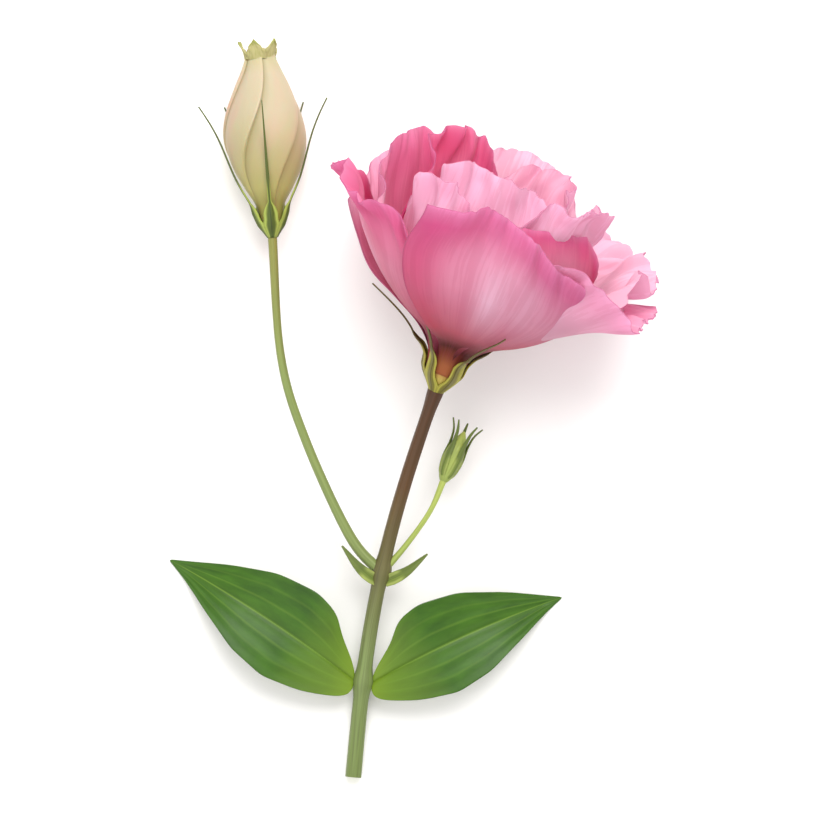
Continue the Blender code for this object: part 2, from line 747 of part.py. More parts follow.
def young_bud(fork, group):
    """The small green bud on its own stalk, wrapped in its five sepals."""
    stalk = curve_through(fork + np.array(YOUNG_STALK), 8)
    pieces = [tube("young_stalk", stalk, spread(YOUNG_STALK_WIDTHS, len(stalk)), 1, group)]
    foot = stalk[-1]
    ahead = unit(stalk[-1] - stalk[-2])
    distances, widths = np.array(YOUNG_BUD).T
    pieces.append(tube("young_bud", foot + distances[:, None] * ahead, widths, 3, group))
    aside = unit(np.cross(UP, ahead))
    for number in range(5):
        turn = math.radians(72.0 * number + 54.0)
        out = aside * math.cos(turn) + np.array(UP) * math.sin(turn)
        line = [foot + ahead * along + out * away for along, away in YOUNG_SEPAL]
        pieces.append(loft("awl", line, YOUNG_SEPAL_WIDTHS, YOUNG_SEPAL_DEPTHS, out, 6, group))
    return pieces


def bract(fork, reach, group):
    """A narrow pointed bract that stands out from under the fork and bends up."""
    root = fork + (BRACT_ROOT[0] * math.copysign(1.0, reach[0]), BRACT_ROOT[1], 0.0)
    half_way = np.array(reach) * (0.5, 0.38, 0.9)
    line = curve_through([root, root + half_way, root + np.array(reach)], len(BRACT_WIDTHS))
    return loft("bract", line, BRACT_WIDTHS, BRACT_DEPTHS, UP, 6, group)


def make_stem(group):
    fork = stem_point(FORK_AT)
    pieces = [main_stem(group), bud_stalk(fork, group), *young_bud(fork, group)]
    for reach in BRACTS:
        pieces.append(bract(fork, reach, group))
    return moved(joined("stem", pieces, group), settled)


class Leaf(NamedTuple):
    """A leaf at the lower node: side is -1 on the left, and heading is clockwise from +Y."""

    side: float
    heading: float
    length: float
    width: float
    arch: float
    bend: float


LEAVES = {
    "leaf_left": Leaf(-1.0, -52.0, 55.0, 25.0, 5.2, -10.0),
    "leaf_right": Leaf(1.0, 60.0, 52.0, 24.0, 6.0, 12.0),
}
LEAF_COLUMNS = 9
LEAF_ROWS = (0.0, 0.05, 0.12, 0.22, 0.34, 0.46, 0.58, 0.7, 0.81, 0.91, 1.0)
LEAF_START = 2.6
LEAF_FOLD = 0.16
LEAF_WAVE = 0.5
LEAF_DROOP = 1.6
# Shares of a leaf's length, and its width there as a share of the broadest
LEAF_AT = (0.0, 0.08, 0.2, 0.36, 0.55, 0.75, 0.9, 1.0)
LEAF_WIDTHS = (0.40, 0.56, 0.84, 1.0, 0.88, 0.52, 0.2, 0.03)


def leaf_height(leaf, node_height, half, u, v):
    """A leaf's foot lies along the stem, its blade arches and its tip rests on the table."""
    rise = node_height * (1.0 - v) ** 1.3 + leaf.arch * np.sin(math.pi * v**0.9)
    droop = LEAF_DROOP * smooth(0.6, 1.0, v)
    fold = LEAF_FOLD * half * np.abs(u) * (1.0 - smooth(0.6, 1.0, v))
    wavy = smooth(0.1, 0.4, v) * (1.0 - smooth(0.8, 1.0, v))
    wave = LEAF_WAVE * np.abs(u) * np.sin(7.0 * v + 1.3 * leaf.side + 1.5 * u) * wavy
    return LEAF_THICKNESS / 2.0 + GAP * (1.0 - v) + rise - droop + fold + wave


def leaf_surface(leaf):
    """The middle surface of a stalkless oval leaf, as a grid of points on the table."""
    u, v = np.meshgrid(np.linspace(-1.0, 1.0, LEAF_COLUMNS), np.asarray(LEAF_ROWS))
    node = stem_point(LEAVES_AT)
    grow = unit(stem_point(LEAVES_AT - 3.0) - stem_point(LEAVES_AT + 3.0))
    shares = np.linspace(0.0, 1.0, 120)
    heading = np.radians(leaf.heading + leaf.bend * shares)
    ahead = np.stack([np.sin(heading), np.cos(heading)], axis=-1)
    steps = ahead[:-1] * leaf.length / (len(shares) - 1)
    middle = np.concatenate([[[0.0, 0.0]], np.cumsum(steps, axis=0)])
    start = node[:2] + (LEAF_START + GAP) * leaf.side * np.array([grow[1], -grow[0]])
    widths = softened(leaf.width / 2.0 * np.interp(shares, LEAF_AT, LEAF_WIDTHS), 8)
    half = np.interp(v, shares, widths)
    foot = 1.0 - smooth(0.0, 0.3, v)
    way_x = np.interp(v, shares, np.cos(heading)) * (1.0 - foot) - foot * leaf.side * grow[0]
    way_y = np.interp(v, shares, -np.sin(heading)) * (1.0 - foot) - foot * leaf.side * grow[1]
    x = start[0] + np.interp(v, shares, middle[:, 0]) + way_x * half * u
    y = start[1] + np.interp(v, shares, middle[:, 1]) + way_y * half * u
    points = np.stack([x, y, leaf_height(leaf, node[2], half, u, v)], axis=-1)
    return pressed(points, LEAF_THICKNESS / 2.0)


def make_leaf(name, leaf, group):
    thickness = [LEAF_THICKNESS] * len(LEAF_ROWS)
    return moved(blade(name, leaf_surface(leaf), thickness, group), settled)


def centre_all(group):
    """Puts the middle of the whole stem's box over the origin, with the table at z = 0."""
    corners = np.array([vertex.co for made in group.objects for vertex in made.data.vertices]) / MM
    middle = (corners.min(axis=0) + corners.max(axis=0)) / 2.0 * (1.0, 1.0, 0.0)
    for made in group.objects:
        moved(made, lambda points: points - middle)


def build():
    clear_scene()
    group = bpy.data.collections.new("lisianthus_flower")
    bpy.context.scene.collection.children.link(group)

    corolla = make_corolla(group)
    finish(corolla, "petal_pink", "#da7a99", 0.55)
    finish(make_calyx("calyx", BLOOM_CALYX, bloom_placed, corolla, group), "calyx_olive", "#746829", 0.5)
    finish(make_stamens(group), "anther_orange", "#c98a2a", 0.7)
    finish(make_pistil(group), "pistil_green", "#a9b45a", 0.5)
    bud = make_bud(group)
    finish(bud, "bud_cream", "#ddd2a4", 0.5)
    finish(make_calyx("bud_calyx", BUD_CALYX, bud_placed, bud, group), "bud_calyx_green", "#74763d", 0.5)
    finish(make_stem(group), "stem_green", "#7d8a52", 0.5)
    for name, leaf in LEAVES.items():
        finish(make_leaf(name, leaf, group), name + "_green", "#5c7a30", 0.45)
    centre_all(group)


build()
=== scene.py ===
import math
from typing import NamedTuple

import bmesh
import bpy
import numpy as np
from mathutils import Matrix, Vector
from mathutils.bvhtree import BVHTree


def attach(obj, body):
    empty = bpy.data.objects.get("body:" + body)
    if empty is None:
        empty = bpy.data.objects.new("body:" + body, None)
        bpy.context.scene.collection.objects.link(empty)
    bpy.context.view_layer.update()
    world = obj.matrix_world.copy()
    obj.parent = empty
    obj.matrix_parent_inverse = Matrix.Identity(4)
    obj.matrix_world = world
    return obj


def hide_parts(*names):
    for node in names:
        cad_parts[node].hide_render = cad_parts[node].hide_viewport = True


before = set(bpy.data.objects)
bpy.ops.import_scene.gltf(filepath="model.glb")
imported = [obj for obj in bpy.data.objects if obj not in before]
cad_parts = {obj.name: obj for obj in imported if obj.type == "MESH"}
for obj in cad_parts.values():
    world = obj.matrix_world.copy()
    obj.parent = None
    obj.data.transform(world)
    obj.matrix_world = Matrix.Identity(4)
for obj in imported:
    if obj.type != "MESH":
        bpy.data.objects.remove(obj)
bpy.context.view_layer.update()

MM = 0.001
UP = np.array([0.0, 0.0, 1.0])

# Where the bloom and the bud lie, in millimetres and degrees, as in the solids
BLOOM_FOOT = (6.760, 5.791, 22.0)
BLOOM_LEAN = 19.2
BLOOM_RISE = 17.5
BUD_FOOT = (-34.240, 43.791, 9.78)
BUD_LEAN = -4.0
BUD_RISE = 0.0

# Petals: lengths in millimetres, and places as shares of a petal's length
PROFILE = (0.0, 0.10, 0.24, 0.50, 0.78, 1.0)
TUBE_RADIUS = 4.2
TUBE_FOOT = 2.5
CLAW_WIDTH = 0.10
CLAW_TURN = 0.7
WAVES = 2.6
# The furthest that a margin reaches, as a share of the petal's length
LONGEST = 1.1
PRESS_SOFTNESS = 0.8
PETAL_THICKNESS = 0.32
CRIMP_PITCH = 3.1
CRIMP_DEPTH = 0.75
CRINKLE_PITCH = 1.3
CRINKLE_DEPTH = 0.45
PLEAT_PITCH = 7.0
PLEAT_DEPTH = 0.12
TOOTH_PITCH = 1.1
TOOTH_DEPTH = 0.38
LIP_PITCH = 6.0
LIP_DEPTH = 0.7
# Where along the noise of the margins, in millimetres, the middle of a petal reads it
NOISE_START = 60.0
# How many fewer rows than columns of points a petal has
ROWS_FEWER = 19

# Calyxes
CUP_TOP = 6.6
BUD_SCALE = 0.71

# Stem
STEM_LENGTH = 100.0
STEM_CUT_RADIUS = 2.0
STEM_TOP_RADIUS = 1.55
CUT_LEAN = 5.0
FORK_AT = 48.0
LEAVES_AT = 76.0
NODE_SWELLING = 0.7
NODE_REACH = 2.6
FOOT_SWELLING = 0.55
FOOT_REACH = 4.5
STEM_SIDES = 32

LEAF_THICKNESS = 0.5

# Points of one piece closer than this, in metres, are one, and edges sharper than this aren't smoothed
SAME_POINT = 1e-8
SHARP_EDGE = math.radians(50.0)


def smooth(low, high, value):
    """0 below low, 1 above high, and an even step between them."""
    part = np.clip((value - low) / (high - low), 0.0, 1.0)
    return part * part * (3.0 - 2.0 * part)


def eased(across, values):
    """values spread from -1 to 1, read where across says, with soft bends at each of them."""
    values = np.asarray(values)
    at = np.clip((across + 1.0) * (len(values) - 1) / 2.0, 0.0, len(values) - 1.001)
    low = np.floor(at).astype(int)
    part = at - low
    part = 0.5 * part + 0.5 * part * part * (3.0 - 2.0 * part)
    return values[low] * (1.0 - part) + values[low + 1] * part


def spread(values, count):
    """values, read evenly at count places from the first to the last."""
    return np.interp(np.linspace(0.0, 1.0, count), np.linspace(0.0, 1.0, len(values)), values)


def softened(values, reach):
    """values evenly spaced, each made the mean of its neighbours up to reach places away."""
    window = np.hanning(2 * reach + 1)
    return np.convolve(np.pad(values, reach, mode="edge"), window / window.sum(), mode="valid")


def uneven(at, seed):
    """Smooth random heights from -1 to 1, one bend for each whole step of at."""
    heights = np.random.default_rng(seed).uniform(-1.0, 1.0, 256)
    low = np.floor(at).astype(int)
    part = at - low
    part = part * part * (3.0 - 2.0 * part)
    return heights[low % 256] * (1.0 - part) + heights[(low + 1) % 256] * part


def unit(vectors):
    vectors = np.asarray(vectors, float)
    return vectors / np.maximum(np.linalg.norm(vectors, axis=-1, keepdims=True), 1e-9)


def direction(degrees):
    """The unit vector across an upright flower's axis at this bearing."""
    turn = math.radians(degrees)
    return np.array([math.cos(turn), math.sin(turn), 0.0])


def round_axis(radius, bearing, height):
    """Points of an upright flower from their distances to its axis, bearings and heights."""
    return np.stack(np.broadcast_arrays(radius * np.cos(bearing), radius * np.sin(bearing), height), axis=-1)


def laid_down(points, lean, rise, foot):
    """Points of an upright flower, laid on the table with its axis leaning right and rising."""
    lean, rise = math.radians(lean), math.radians(rise)
    axis = np.array([math.sin(lean) * math.cos(rise), math.cos(lean) * math.cos(rise), math.sin(rise)])
    right = np.array([math.cos(lean), -math.sin(lean), 0.0])
    return points @ np.stack([right, np.cross(axis, right), axis]) + np.array(foot)


def bloom_placed(points):
    return laid_down(points, BLOOM_LEAN, BLOOM_RISE, BLOOM_FOOT)


def bud_placed(points):
    return laid_down(points, BUD_LEAN, BUD_RISE, BUD_FOOT)


def pressed(points, floor):
    """The points that would lie under floor are flat on it, with a soft bend where they leave it."""
    height = points[..., 2] - floor
    bend = (height + PRESS_SOFTNESS) ** 2 / (4.0 * PRESS_SOFTNESS)
    height = np.where(height > PRESS_SOFTNESS, height, np.where(height < -PRESS_SOFTNESS, 0.0, bend))
    result = points.copy()
    result[..., 2] = floor + height
    return result


def curve_through(points, count):
    """count points evenly along a smooth curve through the given ones."""
    points = np.asarray(points, float)
    padded = np.concatenate([[2 * points[0] - points[1]], points, [2 * points[-1] - points[-2]]])
    fine = []
    for i in range(len(points) - 1):
        a, b, c, d = padded[i : i + 4]
        for t in np.linspace(0.0, 1.0, 30, endpoint=False):
            bend = (2 * a - 5 * b + 4 * c - d) * t**2 + (3 * b - a - 3 * c + d) * t**3
            fine.append(0.5 * (2 * b + (c - a) * t + bend))
    fine = np.array(fine + [points[-1]])
    length = np.concatenate([[0.0], np.cumsum(np.linalg.norm(np.diff(fine, axis=0), axis=1))])
    at = np.linspace(0.0, length[-1], count)
    return np.stack([np.interp(at, length, fine[:, k]) for k in range(3)], axis=-1)


# Building pieces
class Surface(NamedTuple):
    """A grid of points in millimetres, closed to a ring where around is set.

    Its UV map runs from 0 to 1 across the columns and up the rows. mark is a number that sets its
    grain apart from the others' in the same material, and tone is a share that its material reads
    its own way.
    """

    points: np.ndarray
    around: bool = False
    mark: float = 0.0
    tone: float = 0.0


def piece(name, surfaces, materials, node, thickness=0.0):
    """One object from several surfaces, riding on the part in place of a node of its solids.

    With a thickness the surfaces are made into shells, whose inside takes the second material.
    """
    corners, faces, flat, marks, tones = [], [], [], [], []
    first = 0
    for surface in surfaces:
        rows, columns = surface.points.shape[:2]
        spans = columns if surface.around else columns - 1
        i, j = np.meshgrid(np.arange(rows - 1), np.arange(spans), indexing="ij")
        i, j = i.ravel(), j.ravel()
        k = (j + 1) % columns
        low, high = first + i * columns, first + (i + 1) * columns
        faces.append(np.stack([low + j, low + k, high + k, high + j], 1))
        across = np.stack([j, j + 1, j + 1, j], 1) / spans
        along = np.stack([i, i, i + 1, i + 1], 1) / (rows - 1)
        flat.append(np.stack([across, along], -1).reshape(-1, 2))
        corners.append(surface.points.reshape(-1, 3))
        marks.append(np.broadcast_to(surface.mark, (rows, columns)).ravel())
        tones.append(np.broadcast_to(surface.tone, (rows, columns)).ravel())
        first += rows * columns
    mesh = bpy.data.meshes.new(name)
    mesh.from_pydata((np.concatenate(corners) * MM).tolist(), [], np.concatenate(faces).tolist())
    mesh.uv_layers.new(name="Grain").data.foreach_set("uv", np.concatenate(flat).astype(np.float32).ravel())
    for attribute, values in (("mark", marks), ("tone", tones)):
        values = np.concatenate(values).astype(np.float32)
        mesh.attributes.new(attribute, "FLOAT", "POINT").data.foreach_set("value", values)
    mesh.shade_smooth()
    work = bmesh.new()
    work.from_mesh(mesh)
    bmesh.ops.remove_doubles(work, verts=work.verts, dist=SAME_POINT)
    for edge in work.edges:
        if len(edge.link_faces) == 2 and edge.calc_face_angle(0.0) > SHARP_EDGE:
            edge.smooth = False
    work.to_mesh(mesh)
    work.free()
    made = bpy.data.objects.new(name, mesh)
    bpy.context.scene.collection.objects.link(made)
    for material in materials:
        mesh.materials.append(material)
    if thickness:
        shell = made.modifiers.new("Thickness", "SOLIDIFY")
        shell.thickness = thickness * MM
        shell.offset = 0.0
        shell.material_offset = 1 if len(materials) > 1 else 0
    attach(made, "root")
    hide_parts(node)


def sideways(line, outward):
    """Unit vectors square to a line at each of its points: away from it, nearest to outward, and across."""
    tangent = unit(np.gradient(line, axis=0))
    outward = unit(outward - tangent * (tangent @ outward)[:, None])
    return outward, np.cross(outward, tangent)


def stalk(path, widths, sides=STEM_SIDES, ribs=0.0):
    """The surfaces of a round stalk along a path: its side and its two ends. ribs run along it."""
    path = np.asarray(path, float)
    outward, across = sideways(path, UP)
    turn = np.linspace(0.0, 2.0 * math.pi, sides, endpoint=False)[None, :, None]
    swell = 1.0 + ribs * np.cos(7.0 * turn) + 0.5 * ribs * np.cos(11.0 * turn + 1.0)
    radius = np.broadcast_to(widths, len(path))[:, None, None] / 2.0 * swell
    rings = path[:, None] + (across[:, None] * np.cos(turn) + outward[:, None] * np.sin(turn)) * radius
    start, end = [np.broadcast_to(path[k], (1, sides, 3)) for k in (0, -1)]
    caps = [np.concatenate([start, rings[:1]]), np.concatenate([rings[-1:], end])]
    return [Surface(points, True) for points in (rings, *caps)]


def turned(profile, sides, placed):
    """A turned surface round the axis of a flower: (radius, height) points, up its outside."""
    bearing = np.linspace(0.0, 2.0 * math.pi, sides, endpoint=False)
    radius, height = np.array(profile, float).T[..., None]
    return Surface(placed(round_axis(radius, bearing, height)), True)


# Materials. The grains that streaks() counts are about as wide as the streaks and veins of the real
# thing: 0.3 to 0.7 mm on stems, tube and bud, and 0.9 mm on the petals.
def colour(text):
    """An sRGB hex colour as the linear RGBA that a socket takes."""
    channels = [int(text[k : k + 2], 16) / 255.0 for k in (1, 3, 5)]
    return (*[c / 12.92 if c <= 0.04045 else ((c + 0.055) / 1.055) ** 2.4 for c in channels], 1.0)


def add(tree, kind, inputs=None, stops=None, **settings):
    """Adds a node with its settings. inputs are values, or the nodes or outputs that link to them."""
    made = tree.nodes.new("ShaderNode" + kind)
    for name, value in settings.items():
        setattr(made, name, value)
    if stops:
        ramp = made.color_ramp.elements
        while len(ramp) < len(stops):
            ramp.new(1.0)
        for element, (place, shade) in zip(ramp, stops):
            element.position = place
            element.color = colour(shade) if isinstance(shade, str) else (shade, shade, shade, 1.0)
    for name, value in (inputs or {}).items():
        if isinstance(value, bpy.types.Node):
            value = next(output for output in value.outputs if output.enabled)
        if isinstance(value, bpy.types.NodeSocket):
            tree.links.new(value, made.inputs[name])
        else:
            made.inputs[name].default_value = value
    return made


def mirrored(half, middle):
    """The stops of a ramp that is the same on both sides of its middle."""
    return [*half, (0.5, middle), *[(1.0 - place, shade) for place, shade in reversed(half)]]


def new_material(name):
    """An empty material, with the nodes that every finish here starts from."""
    material = bpy.data.materials.new(name)
    material.use_nodes = True
    tree = material.node_tree
    tree.nodes.clear()
    grain = add(tree, "UVMap", uv_map="Grain")
    parts = add(tree, "SeparateXYZ", {0: grain})
    mark, tone = [
        add(tree, "Attribute", attribute_name=attribute).outputs["Fac"] for attribute in ("mark", "tone")
    ]
    return material, tree, grain, parts.outputs[0], parts.outputs[1], mark, tone


def streaks(tree, grain, mark, across, along, detail=3.0):
    """Noise drawn out along a surface: across and along are how many grains fit on it each way."""
    scaled = add(tree, "Mapping", {0: grain, "Scale": (across, along, 1.0)})
    noise = {"Vector": scaled, "W": mark, "Scale": 1.0, "Detail": detail, "Roughness": 0.55}
    return add(tree, "TexNoise", noise, noise_dimensions="4D")


def finish(tree, tint, surface, let_through=0.0):
    """Ends a material in a living skin, which may let a share of the light behind it through."""
    skin = add(tree, "BsdfPrincipled", {"Base Color": tint, **surface})
    if let_through:
        behind = add(tree, "BsdfTranslucent", {"Color": tint})
        skin = add(tree, "MixShader", {0: let_through, 1: skin, 2: behind})
    add(tree, "OutputMaterial", {"Surface": skin})


def petal_skin(name, along_stops, glow, glow_share, vein, vein_share, roughness):
    """Petal skin: thin, satiny and a little translucent, with veins that fan out from the claw."""
    material, tree, grain, u, v, mark, tone = new_material(name)
    body = add(tree, "ValToRGB", {0: v}, along_stops)
    # A tone above 0 makes the blade paler and one below 0 deeper, less so towards its foot and margin.
    # The tone is partly the petal's own colour and partly painted light and shade: paler on petals that
    # catch the light, and deeper, as painted shade, on those in pockets and folds between petals.
    above = add(tree, "ValToRGB", {0: v}, [(0.15, 0.0), (0.4, 0.95)])
    share = add(tree, "Math", {0: above, 1: tone}, operation="MULTIPLY")
    toned = add(tree, "Mix", {0: share, 6: body, 7: colour(glow)}, data_type="RGBA")
    below = add(tree, "ValToRGB", {0: v}, [(0.5, 1.0), (0.8, 0.85), (0.97, 0.3)])
    deep = add(tree, "Math", {0: tone, 1: -1.0}, operation="MULTIPLY")
    deep = add(tree, "Math", {0: deep, 1: below}, operation="MULTIPLY")
    toned = add(tree, "Mix", {0: deep, 6: toned, 7: colour("#de2c76")}, data_type="RGBA")
    # The broad middle of the blade is thinner and paler, with a painted glow of light through it, in
    # patches about 15 mm wide
    high = add(tree, "ValToRGB", {0: v}, [(0.18, 0.0), (0.5, 1.0), (0.66, 0.75), (0.9, 0.0)])
    wide = add(tree, "ValToRGB", {0: u}, [(0.08, 0.0), (0.42, 1.0), (0.6, 0.9), (0.95, 0.1)])
    blush = streaks(tree, grain, mark, 4.0, 2.0, 1.0)
    middle = add(tree, "Math", {0: high, 1: wide}, operation="MULTIPLY")
    middle = add(tree, "Math", {0: middle, 1: blush}, operation="MULTIPLY")
    middle = add(tree, "Math", {0: middle, 1: 2.0 * glow_share}, operation="MULTIPLY")
    pale = add(tree, "Mix", {0: middle, 6: toned, 7: colour(glow)}, data_type="RGBA")
    # Veins every 0.9 mm at the broadest, and broader streaks every 4 mm
    fine = streaks(tree, grain, mark, 66.0, 3.0)
    broad = streaks(tree, grain, mark, 15.0, 1.6)
    both = add(tree, "Math", {0: fine, 1: broad}, operation="ADD")
    dark = add(tree, "ValToRGB", {0: both}, [(0.0, 0.0), (0.86, 0.0), (1.0, 0.35), (1.0, 1.0)])
    share = add(tree, "Math", {0: dark, 1: vein_share}, operation="MULTIPLY")
    veined = add(tree, "Mix", {0: share, 6: pale, 7: colour(vein)}, data_type="RGBA")
    # The very margin, half a millimetre wide, is darker
    line = add(tree, "ValToRGB", {0: v}, [(0.986, 0.0), (0.995, 0.5)])
    sides = add(tree, "ValToRGB", {0: u}, [(0.0, 0.5), (0.012, 0.0), (0.988, 0.0), (1.0, 0.5)])
    line = add(tree, "Math", {0: line, 1: sides}, operation="MAXIMUM")
    edged = add(tree, "Mix", {0: line, 6: veined, 7: colour("#b8467c")}, data_type="RGBA")
    ridges = add(tree, "Bump", {"Height": both, "Strength": 0.15, "Distance": 0.25 * MM})
    surface = {"Roughness": roughness, "Specular IOR Level": 0.3, "Normal": ridges}
    finish(tree, edged, {**surface, "Sheen Weight": 0.15, "Sheen Roughness": 0.4}, 0.5)
    return material


def petal_skins():
    """The back of a petal is paler and dull, dark where it leaves the tube; the face is deep pink."""
    back = [(0.03, "#c47840"), (0.065, "#a04a30"), (0.105, "#6a2820"), (0.16, "#a63e4c")]
    back += [(0.25, "#d04c66"), (0.45, "#d97094"), (0.8, "#d4629a"), (1.0, "#ea9cc8")]
    # The face deepens towards its foot, partly its own colour and partly painted shade deep in the cup
    face = [(0.0, "#6a2820"), (0.12, "#84283c"), (0.22, "#b82c62"), (0.34, "#e03080")]
    face += [(0.52, "#ec4c94"), (0.74, "#ee78ac"), (0.9, "#ee94bc"), (1.0, "#f2a8ca")]
    return (
        petal_skin("petal_back", back, "#f7d6ea", 0.75, "#c04c74", 0.14, 0.55),
        petal_skin("petal_face", face, "#fde0ec", 0.35, "#b92462", 0.12, 0.5),
    )


# Each living skin: its colour, or its colours from foot to tip, its darker streaks and how strong they
# are, how many fit across and along it, its roughness, and how much light comes through
PLAIN_SKINS = {
    # The tube of the petals, tan at its foot and stained maroon where the petals leave it
    "petal_tube_tan": (
        [(0.0, "#a39c44"), (0.3, "#b3a04a"), (0.5, "#b5703c"), (0.7, "#8a3c2a"), (0.9, "#5c2420")],
        "#8a4426", 0.5, 40.0, 3.0, 0.5, 0.0,
    ),
    # The filaments: smooth, pale green and a little shiny
    "filament_pale_green": ("#c9cf86", "#9fae55", 0.5, 8.0, 4.0, 0.45, 0.0),
    # Anthers: matt orange-yellow pollen
    "pollen_orange": ("#dba033", "#b06a17", 0.7, 12.0, 20.0, 0.9, 0.0),
    # The style and the velvety lobes of the stigma: a fresh mid green
    "stigma_green": ("#a3b74a", "#7e9636", 0.6, 12.0, 12.0, 0.55, 0.0),
    # The tips of the bud's petals, thin and pale lime
    "bud_tip_lime": (
        [(0.0, "#bcb47c"), (0.7, "#c8c28a"), (1.0, "#aeb45c")],
        "#a2a050", 0.6, 14.0, 3.0, 0.5, 0.35,
    ),
    # The main stem: green at the cut, turning olive and then brown towards the bloom
    "stem_green_to_brown": (
        [(0.0, "#6a7a40"), (0.3, "#72824a"), (0.52, "#625f36"), (0.75, "#563a1c"), (1.0, "#4a2a12")],
        "#2f2a18", 0.5, 26.0, 5.0, 0.45, 0.0,
    ),
    # The fresh cut: pale, moist pith
    "cut_pith": ("#cfd6a6", "#9fae6c", 0.6, 10.0, 6.0, 0.4, 0.0),
    # The bud's branch: a lighter green than the stem's, turning olive below the bud
    "branch_green": (
        [(0.0, "#78864a"), (0.6, "#7d8b4c"), (1.0, "#84823f")],
        "#525f30", 0.5, 20.0, 5.0, 0.45, 0.0,
    ),
    # The young bud and its stalk: light yellow-green with darker ribs
    "young_bud_green": (
        [(0.0, "#8b9a4c"), (1.0, "#a9b65a")],
        "#6f8035", 0.5, 14.0, 3.0, 0.45, 0.0,
    ),
}
# The green, rim, keel and awl of each kind of sepal
SEPAL_SKINS = {
    # The bloom's: brownish olive between broad lemon-green rims
    "sepal_olive": ("#827a30", "#c0ba4a", "#54441f", "#6f6030"),
    # The closed bud's: dull green between light green rims
    "sepal_green": ("#5c6b2c", "#b3c25a", "#3f4c22", "#5f6b30"),
    # The young bud's and the bracts: an even, fresh green
    "young_sepal_green": ("#7f9040", "#a9b660", "#55662c", "#6f7f3a"),
}


def plain_skin(name):
    """A living skin with darker streaks."""
    shade, dark, dark_share, across, along, roughness, let_through = PLAIN_SKINS[name]
    material, tree, grain, u, v, mark, tone = new_material(name)
    body = colour(shade) if isinstance(shade, str) else add(tree, "ValToRGB", {0: v}, shade)
    noise = streaks(tree, grain, mark, across, along)
    picked = add(tree, "ValToRGB", {0: noise}, [(0.42, 0.0), (0.72, dark_share)])
    mixed = add(tree, "Mix", {0: picked, 6: body, 7: colour(dark)}, data_type="RGBA")
    relief = add(tree, "Bump", {"Height": noise, "Strength": 0.2, "Distance": 0.15 * MM})
    finish(tree, mixed, {"Roughness": roughness, "Specular IOR Level": 0.35, "Normal": relief}, let_through)
    return material


def sepal_skin(name):
    """A sepal: a dark keel, a thin pale rim that lets light through, and a dull awl."""
    green, rim, keel, awl = SEPAL_SKINS[name]
    material, tree, grain, u, v, mark, tone = new_material(name)
    # The outer third of each half is pale, and the keel is a dark line along the middle
    stops = mirrored([(0.0, rim), (0.16, rim), (0.30, green), (0.46, green)], keel)
    side = add(tree, "ValToRGB", {0: u}, stops)
    tip = add(tree, "ValToRGB", {0: v}, [(0.34, 0.0), (0.44, 1.0)])
    body = add(tree, "Mix", {0: tip, 6: side, 7: colour(awl)}, data_type="RGBA")
    noise = streaks(tree, grain, mark, 9.0, 4.0)
    picked = add(tree, "ValToRGB", {0: noise}, [(0.45, 0.0), (0.75, 0.5)])
    mixed = add(tree, "Mix", {0: picked, 6: body, 7: colour(keel)}, data_type="RGBA")
    finish(tree, mixed, {"Roughness": 0.45, "Specular IOR Level": 0.4}, 0.3)
    return material


def bud_skin():
    """The bud's skin: cream over blushing tan, greener at its neck and foot, with painted shade at its seams.
    """
    material, tree, grain, u, v, mark, tone = new_material("bud_cream_skin")
    stops = [(0.0, "#6f6a2c"), (0.10, "#8a8440"), (0.22, "#a49c5e"), (0.42, "#a69c70")]
    stops += [(0.62, "#aea284"), (0.82, "#b2a68a"), (0.93, "#aea67c")]
    body = add(tree, "ValToRGB", {0: v}, stops)
    # The blush comes in soft patches about 7 mm wide
    blush = streaks(tree, grain, mark, 9.0, 2.5)
    low = add(tree, "ValToRGB", {0: v}, [(0.25, 0.0), (0.45, 0.6), (0.7, 0.7), (0.9, 0.1)])
    patches = add(tree, "ValToRGB", {0: blush}, [(0.42, 0.0), (0.68, 0.75)])
    share = add(tree, "Math", {0: low, 1: patches}, operation="MULTIPLY")
    flushed = add(tree, "Mix", {0: share, 6: body, 7: colour("#bd9484")}, data_type="RGBA")
    # Painted shadow: each petal is darker beside the edge of the next, which lies over it
    seam = add(tree, "ValToRGB", {0: tone}, [(0.0, 0.8), (0.06, 0.4), (0.2, 0.1), (0.45, 0.0)])
    shaded = add(tree, "Mix", {0: seam, 6: flushed, 7: colour("#86784a")}, data_type="RGBA")
    # Veins every 0.6 mm
    veins = streaks(tree, grain, mark, 110.0, 4.0)
    relief = add(tree, "Bump", {"Height": veins, "Strength": 0.2, "Distance": 0.15 * MM})
    surface = {"Roughness": 0.5, "Specular IOR Level": 0.35, "Normal": relief}
    finish(tree, shaded, {**surface, "Subsurface Weight": 0.25, "Subsurface Scale": 2.0 * MM})
    return material


